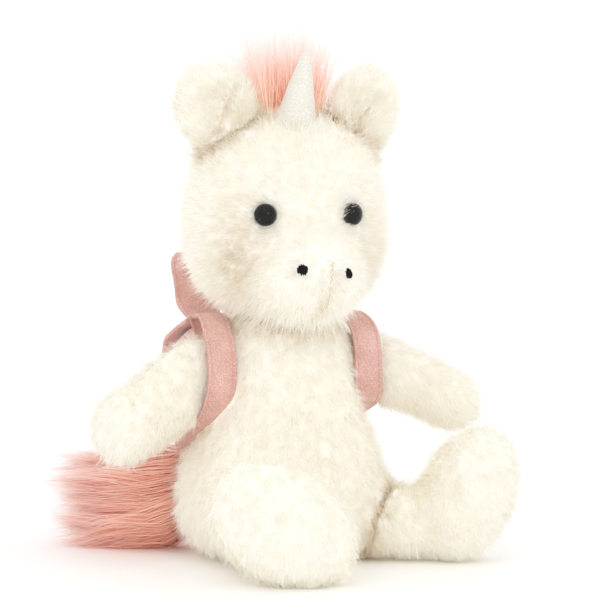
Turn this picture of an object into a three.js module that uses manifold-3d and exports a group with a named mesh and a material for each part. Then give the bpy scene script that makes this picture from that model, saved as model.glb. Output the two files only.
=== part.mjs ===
// A seated plush unicorn that wears a small backpack over its shoulders.
// Lengths are in millimetres and angles in degrees. +Z is up and the animal faces -Y, so its left side is +X.
// The origin is the middle of the flat seat under the torso.

import * as THREE from 'three';
import { mergeVertices } from 'three/addons/utils/BufferGeometryUtils.js';
import Module from 'manifold-3d';

const wasm = await Module();
wasm.setup();

// Clearance between two pieces that touch on the real toy
const GAP = 0.3;

// Torso, a pear with a flat seat
const TORSO_HEIGHT = 104;
const TORSO_HALF_WIDTH = 43;
const TORSO_FRONT = 37;
const TORSO_BACK = 39;
const TORSO_SQUARENESS = 2.5;

// Head and muzzle
const NECK_SINK = 12; // how far the torso reaches up into the head
const HEAD_HEIGHT = 84.5;
const HEAD_HALF_WIDTH = 42.5;
const HEAD_FRONT = 28;
const HEAD_BACK = 35;
const HEAD_FORWARD = 5; // how far the head's axis stands in front of the torso's
const HEAD_SQUARENESS = 2.1;
const MUZZLE_HALF_WIDTH = 27;
const MUZZLE_HALF_HEIGHT = 20;
const MUZZLE_HALF_DEPTH = 25;
const MUZZLE_REACH = 41; // from the head's axis to the tip of the muzzle
const MUZZLE_UP = 19; // from the head's base to the middle of the muzzle

// Face pieces
const EYE_RADIUS = 4.2;
const EYE_DOME = 2.4; // how far an eye stands out of the fur
const EYE_SPREAD = 19;
const EYE_UP = 43; // above the head's base
const NOSTRIL_HALF_WIDTH = 2.2;
const NOSTRIL_HALF_HEIGHT = 2.7;
const NOSTRIL_RELIEF = 1; // how far the stitched oval stands out
const NOSTRIL_SPREAD = 9.2;
const NOSTRIL_UP = 22.5; // above the head's base
const NOSTRIL_SLIP = 1.6; // how much lower the left one is sewn than the right one
const NOSTRIL_TURN = 14; // outwards from straight ahead
const SINK = 1.5; // how deep a small piece is set into the fur

// Ears, cupped round pads
const EAR_HALF_WIDTH = 18.5;
const EAR_HALF_HEIGHT = 20;
const EAR_HALF_DEPTH = 8.5;
const EAR_ANGLE = 37; // from upright to the ear's seat, seen from the front
const EAR_FORWARD = 8; // angle of the seat in front of the head's axis
const EAR_TURN = 14; // how far the open side turns outwards
const EAR_LIFT = 9; // from the head's surface to the middle of the ear
const EAR_LEAN = 22; // how far the ear itself leans outwards
const EAR_CUP = 5.5; // depth of the hollow in the ear
const EAR_CUP_SHARE = 0.7; // hollow's width and height in shares of the ear's

// Horn
const HORN_RADIUS = 7.2;
const HORN_LENGTH = 26;
const HORN_TILT = 9; // forward from upright
const HORN_FORWARD = 10; // in front of the head's axis

// Mane, a crest of long locks from the horn to the nape
const MANE_LENGTH = 34;
const MANE_ROOT_SPREAD = 8; // from the middle to the outer roots
const MANE_EDGE_CUT = 0.12; // how much shorter the outer locks are, as a share
const MANE_LOCK_RADIUS = 5.4;
const MANE_PAD = 6; // half width of the base that the locks grow from

// Arms
const SHOULDER_SPREAD = 21.5;
const SHOULDER_HEIGHT = 78;
const ARM_LENGTH = 62;
const ARM_RADIUS = 16;

// Legs and feet
const HIP_SPREAD = 16;
const HIP_FORWARD = 12;
const HIP_HEIGHT = 15;
const LEG_REACH = 53; // from the hip to the middle of the foot
const LEG_RADIUS = 14;
const FOOT_HALF_LENGTH = 28.7;
const FOOT_HALF_WIDTH = 20.5;
const FOOT_HALF_DEPTH = 19;
const FOOT_PRESS = 1.5; // how far the floor flattens the foot

// Tail, a brush of long hair that lies on the floor
const TAIL_LENGTH = 74;
const TAIL_HALF_WIDTH = 15;
const TAIL_HALF_HEIGHT = 21;
const TAIL_SWEEP = 59; // from straight back towards the animal's right side
const TAIL_LOCK_RADIUS = 8;
const TAIL_ROOT_SINK = 11; // how deep its root is set into the torso
const TAIL_ROOT_SIDE = 12; // root's distance from the middle, towards the animal's right side
const TAIL_CORE_SHARE = 0.7; // length of the core inside the hair, as a share of the tail's
const TAIL_LOCK_START = 0.22; // share of the tail's length at which its locks begin

// Backpack
const PACK_WIDTH = 52;
const PACK_HEIGHT = 52;
const PACK_DEPTH = 30;
const PACK_WALL = 1.6;
const PACK_BASE = 38; // above the seat
const PACK_PRESS = 4; // how far the pack's back panel is pressed into the torso
const PACK_SQUARENESS = 5;
const PACK_RIM_DROP = 9; // how much lower the outer rim is than the one on the back
const FLAP_THICKNESS = 1.6;
const FLAP_OVERHANG = 1.5; // past the pouch on each side
const FLAP_LENGTH = 24; // down the outer panel
const SNAP_RADIUS = 4;
const SNAP_HEIGHT = 1.4;
const SNAP_EDGE = 7; // from the flap's lower edge to the middle of the fastener
const STRAP_WIDTH = 11.5;
const STRAP_THICKNESS = 1.6;
const STRAP_SPREAD = 30.5; // from the middle of the chest to the middle of the strap
const STRAP_SHOULDER = 95; // height of the strap over the shoulder
const STRAP_LIFT = 7.5; // how much higher the strap runs under an arm that is raised

// Faces of the round forms
const BODY_SIDES = 26;
const BODY_RINGS = 12;
const LIMB_SIDES = 16;
const LOCK_SIDES = 6;
const POUCH_SIDES = 24;
const POUCH_RINGS = 7;
const FLAP_STEPS = 14;
const STRAP_STEPS = 42;

// Tables of sections. Columns that aren't angles or places are shares of the sizes above.
const TORSO_SECTIONS = [
  { up: 0.0, width: 0.7, front: 0.7, back: 0.72 },
  { up: 0.06, width: 0.89, front: 0.89, back: 0.9 },
  { up: 0.19, width: 1.0, front: 1.0, back: 1.0 },
  { up: 0.32, width: 0.965, front: 1.0, back: 0.98 },
  { up: 0.45, width: 0.865, front: 0.93, back: 0.92 },
  { up: 0.57, width: 0.74, front: 0.84, back: 0.84 },
  { up: 0.7, width: 0.67, front: 0.76, back: 0.77 },
  { up: 0.82, width: 0.62, front: 0.69, back: 0.7 },
  { up: 0.92, width: 0.5, front: 0.55, back: 0.55 },
  { up: 1.0, width: 0.2, front: 0.2, back: 0.2 },
];
const HEAD_SECTIONS = [
  { up: 0.0, width: 0.3, front: 0.25, back: 0.28 },
  { up: 0.06, width: 0.6, front: 0.56, back: 0.58 },
  { up: 0.16, width: 0.84, front: 0.8, back: 0.8 },
  { up: 0.28, width: 0.96, front: 0.94, back: 0.93 },
  { up: 0.42, width: 1.0, front: 1.0, back: 1.0 },
  { up: 0.58, width: 0.97, front: 0.99, back: 1.0 },
  { up: 0.74, width: 0.88, front: 0.91, back: 0.92 },
  { up: 0.87, width: 0.69, front: 0.75, back: 0.74 },
  { up: 0.96, width: 0.42, front: 0.47, back: 0.44 },
  { up: 1.0, width: 0.18, front: 0.2, back: 0.18 },
];
const ARM_SECTIONS = [
  { along: 0.0, wide: 0.6, tall: 0.7 },
  { along: 0.12, wide: 0.8, tall: 1.05 },
  { along: 0.3, wide: 0.85, tall: 1.12 },
  { along: 0.6, wide: 0.95, tall: 0.98 },
  { along: 0.82, wide: 0.98, tall: 0.97 },
  { along: 0.94, wide: 0.72, tall: 0.72 },
  { along: 1.0, wide: 0.25, tall: 0.25 },
];
const LEG_SECTIONS = [
  { along: 0.0, wide: 0.6, tall: 0.6 },
  { along: 0.3, wide: 1.0, tall: 1.0 },
  { along: 0.8, wide: 0.95, tall: 0.95 },
  { along: 1.0, wide: 0.5, tall: 0.5 },
];
const HORN_SECTIONS = [
  { along: 0.0, thick: 1.0 },
  { along: 0.5, thick: 0.62 },
  { along: 0.94, thick: 0.25 },
  { along: 0.98, thick: 0.15 },
];
const LOCK_SECTIONS = [
  { along: 0.0, thick: 1.0 },
  { along: 0.55, thick: 0.85 },
  { along: 1.0, thick: 0.16 },
];
const MANE_PAD_SECTIONS = [
  { along: 0.0, wide: 0.6, tall: 0.6 },
  { along: 0.15, wide: 1.0, tall: 1.0 },
  { along: 0.85, wide: 0.9, tall: 1.0 },
  { along: 1.0, wide: 0.6, tall: 0.6 },
];
const TAIL_SECTIONS = [
  { along: 0.0, wide: 0.6, tall: 0.75 },
  { along: 0.4, wide: 0.95, tall: 1.0 },
  { along: 0.8, wide: 0.85, tall: 0.85 },
  { along: 1.0, wide: 0.5, tall: 0.5 },
];
const SNAP_SECTIONS = [
  { out: 1.0, up: 0.0 },
  { out: 1.0, up: 0.5 },
  { out: 0.75, up: 0.9 },
  { out: 0.0, up: 1.0 },
];
const POUCH_SECTIONS = [
  { up: 0.0, width: 0.86, depth: 0.7, tilt: 0.0 },
  { up: 0.05, width: 0.96, depth: 0.86, tilt: 0.0 },
  { up: 0.2, width: 1.0, depth: 0.97, tilt: 0.05 },
  { up: 0.45, width: 1.0, depth: 1.0, tilt: 0.3 },
  { up: 0.75, width: 0.98, depth: 0.96, tilt: 0.7 },
  { up: 1.0, width: 0.96, depth: 0.91, tilt: 1.0 },
];

// Arms with their routes from the shoulder, in shares of the arm's length. Out is away from the body
// and girth is the share of the arm's radius.
const ARMS = [
  {
    name: 'arm_right',
    side: -1,
    girth: 1.0,
    route: [
      { out: 0.0, back: 0.0, up: 0.0 },
      { out: 0.2, back: 0.0, up: -0.09 },
      { out: 0.55, back: -0.05, up: -0.3 },
      { out: 0.81, back: -0.13, up: -0.42 },
      { out: 0.96, back: -0.16, up: -0.46 },
    ],
  },
  {
    name: 'arm_left',
    side: 1,
    girth: 0.88,
    route: [
      { out: 0.0, back: 0.0, up: 0.0 },
      { out: 0.22, back: 0.0, up: -0.06 },
      { out: 0.48, back: -0.03, up: -0.14 },
      { out: 0.74, back: -0.1, up: -0.27 },
      { out: 0.98, back: -0.18, up: -0.38 },
    ],
  },
];

// Legs. Swing and faces are measured outwards from straight ahead, lean is the foot's tilt to its
// outer side and tip is its tilt away from the body.
const LEGS = [
  { name: 'leg_right', side: -1, swing: 10, faces: 22, lean: 54, tip: 4 },
  { name: 'leg_left', side: 1, swing: 62, faces: 62, lean: 0, tip: 24 },
];

// Rows of mane locks. Place is where the row sits on the head and lean how far its locks tilt, both
// as angles behind upright. Fan is the outward tilt at the row's edge and length a share of the mane's.
const MANE_ROWS = [
  { locks: 5, place: -8, lean: 2, fan: 20, length: 1.0 },
  { locks: 4, place: 10, lean: 26, fan: 20, length: 1.0 },
  { locks: 3, place: 30, lean: 60, fan: 22, length: 0.95 },
  { locks: 3, place: 52, lean: 98, fan: 22, length: 0.9 },
  { locks: 3, place: 76, lean: 140, fan: 20, length: 0.85 },
];

// Tail locks round the brush, at an angle round its axis, with their shares of its length.
const TAIL_LOCKS = [
  { around: 0, out: 0.62, length: 0.96 },
  { around: 45, out: 0.6, length: 1.0 },
  { around: 90, out: 0.66, length: 0.93 },
  { around: 135, out: 0.6, length: 0.98 },
  { around: 180, out: 0.62, length: 0.92 },
  { around: 225, out: 0.6, length: 0.97 },
  { around: 270, out: 0.6, length: 0.9 },
  { around: 315, out: 0.6, length: 0.95 },
  { around: 0, out: 0.05, length: 1.02 },
];

// The straps. Raised is 1 where the arm in the loop is held higher.
const STRAPS = [
  { name: 'strap_left', side: 1, raised: 1 },
  { name: 'strap_right', side: -1, raised: 0 },
];

// A strap's route: out in shares of its spread, back of the pack's panel, up of its height over the
// shoulder, and lift of the extra height under a raised arm.
const STRAP_ROUTE = [
  { out: 0.62, back: 1.0, up: 0.87, lift: 0 },
  { out: 0.64, back: 1.0, up: 0.945, lift: 0 },
  { out: 0.7, back: 1.13, up: 1.07, lift: 0 },
  { out: 0.79, back: 1.3, up: 1.17, lift: 0 },
  { out: 0.84, back: 1.36, up: 1.22, lift: 0 },
  { out: 0.86, back: 1.31, up: 1.245, lift: 0 },
  { out: 0.86, back: 1.245, up: 1.215, lift: 0 },
  { out: 0.84, back: 1.1, up: 1.12, lift: 0 },
  { out: 0.8, back: 0.91, up: 1.03, lift: 0 },
  { out: 0.8, back: 0.7, up: 0.99, lift: 0 },
  { out: 0.87, back: 0.38, up: 1.0, lift: 0 },
  { out: 0.95, back: 0.0, up: 1.0, lift: 0 },
  { out: 1.0, back: -0.27, up: 0.95, lift: 0 },
  { out: 1.0, back: -0.42, up: 0.86, lift: 0.1 },
  { out: 1.0, back: -0.44, up: 0.75, lift: 0.3 },
  { out: 1.04, back: -0.36, up: 0.645, lift: 0.65 },
  { out: 1.1, back: -0.14, up: 0.56, lift: 1.0 },
  { out: 1.13, back: 0.14, up: 0.515, lift: 1.1 },
  { out: 1.08, back: 0.47, up: 0.475, lift: 1.0 },
  { out: 0.98, back: 0.73, up: 0.455, lift: 0.8 },
  { out: 0.88, back: 0.9, up: 0.465, lift: 0.6 },
  { out: 0.82, back: 0.975, up: 0.51, lift: 0.3 },
  { out: 0.8, back: 1.0, up: 0.58, lift: 0 },
];

// Levels and places that follow from the sizes
const HEAD_BASE = TORSO_HEIGHT - NECK_SINK;
const HEAD_CENTRE = new THREE.Vector3(0, -HEAD_FORWARD, HEAD_BASE + HEAD_HEIGHT / 2);
const PACK_BACK = TORSO_BACK - PACK_PRESS;
const PACK_TOP = PACK_BASE + PACK_HEIGHT;
const RIM_DEPTH = PACK_DEPTH * POUCH_SECTIONS.at(-1).depth;
const FLAP_TURN = PACK_TOP + GAP + FLAP_THICKNESS / 2 - (PACK_RIM_DROP * RIM_DEPTH) / PACK_DEPTH;
const FLAP_HANG = PACK_BACK + PACK_DEPTH + 2 * GAP + FLAP_THICKNESS / 2;
const OUTSIDE = 4 * (TORSO_HEIGHT + HEAD_HEIGHT); // farther out than any piece

// Reads a table of sections at any place along it, on smooth curves through its rows.
function readerOf(rows, along, columns) {
  const places = rows.map((row) => row[along]);
  const values = rows.flatMap((row) => columns.map((column) => row[column]));
  const curve = new THREE.CubicInterpolant(places, values, columns.length);
  return (at) => {
    const found = Array.from(curve.evaluate(at));
    return Object.fromEntries(columns.map((column, i) => [column, found[i]]));
  };
}

// Evenly spaced shares from 0 to 1.
function shares(count) {
  return Array.from({ length: count }, (_, i) => i / (count - 1));
}

// The middle of a ring of points.
function middleOf(ring) {
  const sum = ring.reduce((total, point) => total.add(point), new THREE.Vector3());
  return sum.divideScalar(ring.length);
}

// A closed skin through rings of points, each with the same number, with a fan over each end.
function skin(rings) {
  const sides = rings[0].length;
  const points = rings.flat();
  const triangles = [];
  for (let r = 0; r < rings.length - 1; r++) {
    for (let s = 0; s < sides; s++) {
      const a = r * sides + s;
      const b = r * sides + ((s + 1) % sides);
      triangles.push(a, b, b + sides, a, b + sides, a + sides);
    }
  }
  const start = points.push(middleOf(rings[0])) - 1;
  const end = points.push(middleOf(rings.at(-1))) - 1;
  const last = (rings.length - 1) * sides;
  for (let s = 0; s < sides; s++) {
    const next = (s + 1) % sides;
    triangles.push(start, next, s);
    triangles.push(end, last + s, last + next);
  }
  const geometry = new THREE.BufferGeometry().setFromPoints(points);
  geometry.setIndex(triangles);
  return geometry;
}

// A closed geometry as a solid that can be joined and cut.
function solidOf(geometry) {
  const bare = geometry.clone();
  bare.deleteAttribute('normal');
  bare.deleteAttribute('uv');
  const merged = mergeVertices(bare);
  return new wasm.Manifold(
    new wasm.Mesh({
      numProp: 3,
      vertProperties: new Float32Array(merged.attributes.position.array),
      triVerts: new Uint32Array(merged.index.array),
    }),
  );
}

// A solid back as a geometry.
function geometryOf(solid) {
  const mesh = solid.getMesh();
  const geometry = new THREE.BufferGeometry();
  geometry.setAttribute('position', new THREE.BufferAttribute(mesh.vertProperties, 3));
  geometry.setIndex(new THREE.BufferAttribute(mesh.triVerts, 1));
  geometry.computeVertexNormals();
  return geometry;
}

// One solid made of several that meet.
function join(solids) {
  return solids.reduce((whole, solid) => whole.add(solid));
}

// A solid without the room that its neighbours take.
function cutBy(solid, neighbours) {
  return neighbours.reduce((left, neighbour) => left.subtract(neighbour), solid);
}

// A rounded square number: the cosine or sine of an angle, pushed towards the corners.
function squared(value, squareness) {
  return Math.sign(value) * Math.abs(value) ** (2 / squareness);
}

// A standing form of rounded sections: size holds base, height, halfWidth, front, back, middle (the
// Y of its axis) and squareness, and grow enlarges it all round.
function standing(rows, size, grow) {
  const read = readerOf(rows, 'up', ['width', 'front', 'back']);
  const rings = shares(BODY_RINGS).map((up) => {
    const section = read(up);
    const height = size.base - grow + up * (size.height + 2 * grow);
    return shares(BODY_SIDES + 1).slice(0, -1).map((turn) => {
      const x = squared(Math.cos(2 * Math.PI * turn), size.squareness);
      const y = squared(Math.sin(2 * Math.PI * turn), size.squareness);
      const depth = y < 0 ? size.front * section.front : size.back * section.back;
      return new THREE.Vector3(
        x * (size.halfWidth * section.width + grow),
        size.middle + y * (depth + grow),
        height,
      );
    });
  });
  return skin(rings);
}

// A round form along a curved route, with sections in shares of its radius.
function limb(route, rows, radius, grow, sides, steps) {
  const read = readerOf(rows, 'along', ['wide', 'tall']);
  const curve = new THREE.CatmullRomCurve3(route);
  const rings = shares(steps).map((along) => {
    const section = read(along);
    const ahead = curve.getTangentAt(along);
    const across = new THREE.Vector3(0, 0, 1).cross(ahead).normalize();
    const over = ahead.clone().cross(across);
    const past = along === 0 ? -grow : along === 1 ? grow : 0;
    const centre = curve.getPointAt(along).addScaledVector(ahead, past);
    return shares(sides + 1).slice(0, -1).map((turn) => {
      const angle = 2 * Math.PI * turn;
      return centre.clone()
        .addScaledVector(across, Math.cos(angle) * (radius * section.wide + grow))
        .addScaledVector(over, Math.sin(angle) * (radius * section.tall + grow));
    });
  });
  return skin(rings);
}

// A closed egg of the given half sizes about the origin.
function egg(halfX, halfY, halfZ, across, up) {
  return new THREE.SphereGeometry(1, across, up).rotateX(Math.PI / 2).scale(halfX, halfY, halfZ);
}

// A straight pointed lock of hair that thins towards its tip.
function lock(root, direction, length, radius) {
  const ahead = direction.clone().normalize();
  const level = Math.abs(ahead.x) < 0.9 ? new THREE.Vector3(1, 0, 0) : new THREE.Vector3(0, 1, 0);
  const over = ahead.clone().cross(level).normalize();
  const across = over.clone().cross(ahead);
  const rings = LOCK_SECTIONS.map((row) => {
    const centre = root.clone().addScaledVector(ahead, length * row.along);
    return shares(LOCK_SIDES + 1).slice(0, -1).map((turn) => {
      const angle = 2 * Math.PI * turn;
      return centre.clone()
        .addScaledVector(across, Math.cos(angle) * radius * row.thick)
        .addScaledVector(over, Math.sin(angle) * radius * row.thick);
    });
  });
  return solidOf(skin(rings));
}

// A flat band along a route of points, its width lying as near to X as the route lets it. Inner and
// outer are how far it reaches to either side of the route.
function band(points, width, inner, outer, steps, endGrow) {
  const curve = new THREE.CatmullRomCurve3(points, false, 'centripetal');
  const rings = shares(steps).map((along) => {
    const ahead = curve.getTangentAt(along);
    const across = new THREE.Vector3(1, 0, 0).addScaledVector(ahead, -ahead.x).normalize();
    const outward = across.clone().cross(ahead);
    const past = along === 0 ? -endGrow : along === 1 ? endGrow : 0;
    const centre = curve.getPointAt(along).addScaledVector(ahead, past);
    const corners = [
      [-1, inner],
      [-1, outer],
      [1, outer],
      [1, inner],
    ];
    return corners.map(([end, reach]) => centre.clone()
      .addScaledVector(across, (end * width) / 2)
      .addScaledVector(outward, reach));
  });
  return skin(rings);
}

// Where a straight line first meets a surface.
function landing(geometry, from, direction) {
  const line = new THREE.Raycaster(from, direction.clone().normalize());
  return line.intersectObject(new THREE.Mesh(geometry))[0].point;
}

// A unit direction from two angles: turn is outwards from straight ahead, rise is above level.
function heading(side, turn, rise) {
  const t = THREE.MathUtils.degToRad(turn);
  const r = THREE.MathUtils.degToRad(rise);
  return new THREE.Vector3(side * Math.sin(t) * Math.cos(r), -Math.cos(t) * Math.cos(r), Math.sin(r));
}

// Everything above the floor, to flatten what lies on it.
const aboveFloor = solidOf(new THREE.BoxGeometry(OUTSIDE, OUTSIDE, OUTSIDE).translate(0, 0, OUTSIDE / 2));

// The torso before its neighbours are cut from it.
function torsoForm(grow) {
  return standing(TORSO_SECTIONS, {
    base: 0,
    height: TORSO_HEIGHT,
    halfWidth: TORSO_HALF_WIDTH,
    front: TORSO_FRONT,
    back: TORSO_BACK,
    middle: 0,
    squareness: TORSO_SQUARENESS,
  }, grow);
}

// The head with its muzzle.
function headForm(grow) {
  const skull = standing(HEAD_SECTIONS, {
    base: HEAD_BASE,
    height: HEAD_HEIGHT,
    halfWidth: HEAD_HALF_WIDTH,
    front: HEAD_FRONT,
    back: HEAD_BACK,
    middle: -HEAD_FORWARD,
    squareness: HEAD_SQUARENESS,
  }, grow);
  const muzzle = egg(MUZZLE_HALF_WIDTH + grow, MUZZLE_HALF_DEPTH + grow, MUZZLE_HALF_HEIGHT + grow, 20, 12);
  muzzle.translate(0, -HEAD_FORWARD - MUZZLE_REACH + MUZZLE_HALF_DEPTH, HEAD_BASE + MUZZLE_UP);
  return solidOf(skull).add(solidOf(muzzle));
}

const torsoShape = torsoForm(0);
const torsoRoom = solidOf(torsoForm(GAP));
const headSolid = headForm(0);
const headShape = geometryOf(headSolid);
const headRoom = headForm(GAP);

// Where a level line from straight ahead lands on the face, at a distance from the middle and a height.
function onFace(across, height) {
  return landing(headShape, new THREE.Vector3(across, -OUTSIDE, height), new THREE.Vector3(0, 1, 0));
}

// Where a plumb line lands on the crown, at a distance behind the head's axis.
function onCrown(across, behind) {
  const from = new THREE.Vector3(across, behind - HEAD_FORWARD, OUTSIDE);
  return landing(headShape, from, new THREE.Vector3(0, 0, -1));
}

// A glossy dome, turned out from the head's axis and set into the fur.
function eye(side) {
  const seat = onFace(side * EYE_SPREAD, HEAD_BASE + EYE_UP);
  const outward = seat.clone().sub(HEAD_CENTRE).setZ(0).normalize();
  const profile = shares(5).map((share) => {
    const angle = (share * Math.PI) / 2;
    return new THREE.Vector2(EYE_RADIUS * Math.cos(angle), EYE_DOME * Math.sin(angle));
  });
  profile[profile.length - 1].x = 0;
  const foot = [new THREE.Vector2(0, -SINK), new THREE.Vector2(EYE_RADIUS, -SINK)];
  const dome = new THREE.LatheGeometry([...foot, ...profile], 14);
  const turn = new THREE.Quaternion().setFromUnitVectors(new THREE.Vector3(0, 1, 0), outward);
  dome.applyQuaternion(turn).translate(seat.x, seat.y, seat.z);
  return cutBy(solidOf(dome), [headRoom]);
}

// A stitched oval on the front of the muzzle.
function nostril(side) {
  const slip = side > 0 ? NOSTRIL_SLIP : 0;
  const seat = onFace(side * NOSTRIL_SPREAD, HEAD_BASE + NOSTRIL_UP - slip);
  const oval = egg(NOSTRIL_HALF_WIDTH, NOSTRIL_RELIEF + SINK, NOSTRIL_HALF_HEIGHT, 12, 6);
  oval.rotateZ(THREE.MathUtils.degToRad(side * NOSTRIL_TURN)).translate(seat.x, seat.y + SINK / 2, seat.z);
  return cutBy(solidOf(oval), [headRoom]);
}

// A cupped round pad, seated on the side of the crown. Cupped false leaves out its hollow.
function earForm(side, grow, cupped) {
  const outward = heading(side, 90 - EAR_FORWARD, 90 - EAR_ANGLE);
  const from = HEAD_CENTRE.clone().addScaledVector(outward, OUTSIDE);
  const seat = landing(headShape, from, outward.clone().negate());
  const centre = seat.addScaledVector(outward, EAR_LIFT);
  const pad = egg(EAR_HALF_WIDTH + grow, EAR_HALF_DEPTH + grow, EAR_HALF_HEIGHT + grow, 18, 12);
  const scoop = egg(EAR_HALF_WIDTH * EAR_CUP_SHARE, EAR_HALF_DEPTH, EAR_HALF_HEIGHT * EAR_CUP_SHARE, 16, 10);
  scoop.translate(0, -2 * EAR_HALF_DEPTH + EAR_CUP, 0);
  const [padSolid, scoopSolid] = [pad, scoop].map((form) => {
    form.rotateY(THREE.MathUtils.degToRad(side * EAR_LEAN));
    form.rotateZ(THREE.MathUtils.degToRad(side * EAR_TURN));
    form.translate(centre.x, centre.y, centre.z);
    return solidOf(form);
  });
  return cutBy(padSolid, cupped ? [scoopSolid, headRoom] : []);
}

// The cone of the horn, its foot set into the fur.
function hornForm(grow) {
  const seat = onCrown(0, -HORN_FORWARD);
  const side = HORN_SECTIONS.map((row) => new THREE.Vector2(
    HORN_RADIUS * row.thick + grow,
    HORN_LENGTH * row.along + grow,
  ));
  const profile = [
    new THREE.Vector2(0, -2 * SINK - grow),
    new THREE.Vector2(HORN_RADIUS + grow, -2 * SINK - grow),
    ...side,
    new THREE.Vector2(0, HORN_LENGTH + grow),
  ];
  const cone = new THREE.LatheGeometry(profile, 14).rotateX(Math.PI / 2);
  cone.rotateX(THREE.MathUtils.degToRad(HORN_TILT));
  return solidOf(cone.translate(seat.x, seat.y, seat.z));
}

// The crest: rows of locks that grow from one pad along the middle of the head.
function mane() {
  const rows = MANE_ROWS.map((row) => {
    const outward = heading(1, 180, 90 - row.place);
    const from = HEAD_CENTRE.clone().addScaledVector(outward, OUTSIDE);
    const seat = landing(headShape, from, outward.clone().negate());
    return { ...row, upright: heading(1, 180, 90 - row.lean), seat };
  });
  const locks = rows.flatMap((row) => shares(row.locks).map((share) => {
    const across = 2 * share - 1;
    const root = row.seat.clone().setX(across * MANE_ROOT_SPREAD);
    const direction = row.upright.clone().setX(Math.tan(THREE.MathUtils.degToRad(row.fan * across)));
    const length = MANE_LENGTH * row.length * (1 - MANE_EDGE_CUT * Math.abs(across));
    return lock(root, direction, length, MANE_LOCK_RADIUS);
  }));
  const pad = limb(rows.map((row) => row.seat), MANE_PAD_SECTIONS, MANE_PAD, 0, 2 * LOCK_SIDES, 6);
  return join([solidOf(pad), ...locks]);
}

// An arm from inside the shoulder to the paw.
function armForm(arm, grow) {
  const shoulder = new THREE.Vector3(arm.side * SHOULDER_SPREAD, 0, SHOULDER_HEIGHT);
  const route = arm.route.map((point) => new THREE.Vector3(
    shoulder.x + arm.side * point.out * ARM_LENGTH,
    shoulder.y + point.back * ARM_LENGTH,
    shoulder.z + point.up * ARM_LENGTH,
  ));
  return solidOf(limb(route, ARM_SECTIONS, ARM_RADIUS * arm.girth, grow, LIMB_SIDES, 11));
}

// A leg from inside the hip to its foot, which stands on its heel.
function legForm(leg, grow) {
  const ahead = heading(leg.side, leg.swing, 0);
  const hip = new THREE.Vector3(leg.side * HIP_SPREAD, -HIP_FORWARD, HIP_HEIGHT);
  const ankle = hip.clone().addScaledVector(ahead, LEG_REACH);
  const foot = egg(FOOT_HALF_WIDTH + grow, FOOT_HALF_DEPTH + grow, FOOT_HALF_LENGTH + grow, 20, 12);
  foot.rotateX(THREE.MathUtils.degToRad(leg.tip));
  foot.rotateY(THREE.MathUtils.degToRad(leg.side * leg.lean));
  foot.rotateZ(THREE.MathUtils.degToRad(leg.side * leg.faces));
  foot.computeBoundingBox();
  foot.translate(ankle.x, ankle.y, -foot.boundingBox.min.z - FOOT_PRESS - grow);
  const route = [hip, hip.clone().lerp(ankle, 0.5), ankle];
  const shin = limb(route, LEG_SECTIONS, LEG_RADIUS, grow, LIMB_SIDES, 5);
  return solidOf(shin).add(solidOf(foot)).intersect(aboveFloor);
}

// The brush of the tail: a core inside the hair and locks round it.
function tail() {
  const ahead = heading(-1, 180 - TAIL_SWEEP, 0);
  const across = new THREE.Vector3(0, 0, 1).cross(ahead).normalize();
  const root = new THREE.Vector3(-TAIL_ROOT_SIDE, TORSO_BACK - TAIL_ROOT_SINK, TAIL_HALF_HEIGHT);
  const route = shares(3).map((share) => {
    return root.clone().addScaledVector(ahead, share * TAIL_CORE_SHARE * TAIL_LENGTH);
  });
  const core = limb(route, TAIL_SECTIONS, TAIL_HALF_HEIGHT, 0, LIMB_SIDES, 7);
  const locks = TAIL_LOCKS.map((row) => {
    const angle = THREE.MathUtils.degToRad(row.around);
    const place = root.clone()
      .addScaledVector(ahead, TAIL_LENGTH * TAIL_LOCK_START)
      .addScaledVector(across, Math.cos(angle) * TAIL_HALF_WIDTH * row.out);
    place.z += Math.sin(angle) * TAIL_HALF_HEIGHT * row.out;
    const length = TAIL_LENGTH * (row.length - TAIL_LOCK_START);
    return lock(place, ahead, length, TAIL_LOCK_RADIUS);
  });
  return join([solidOf(core), ...locks]).intersect(aboveFloor);
}

// The pouch of the pack as a block, inset all round. Over makes it taller than its rim.
function pouch(inset, over) {
  const read = readerOf(POUCH_SECTIONS, 'up', ['width', 'depth', 'tilt']);
  const ring = (up, lift) => {
    const section = read(up);
    return shares(POUCH_SIDES + 1).slice(0, -1).map((turn) => {
      const x = squared(Math.cos(2 * Math.PI * turn), PACK_SQUARENESS);
      const y = squared(Math.sin(2 * Math.PI * turn), PACK_SQUARENESS);
      const halfDepth = (PACK_DEPTH * section.depth) / 2;
      const deep = halfDepth + y * (halfDepth - inset);
      const drop = (PACK_RIM_DROP * section.tilt * deep) / PACK_DEPTH;
      return new THREE.Vector3(
        x * ((PACK_WIDTH * section.width) / 2 - inset),
        PACK_BACK + deep,
        PACK_BASE + inset + up * (PACK_HEIGHT - inset) - drop + lift,
      );
    });
  };
  const rings = shares(POUCH_RINGS).map((up) => ring(up, 0));
  if (over > 0) {
    rings.push(ring(1, over));
  }
  return solidOf(skin(rings));
}

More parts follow.
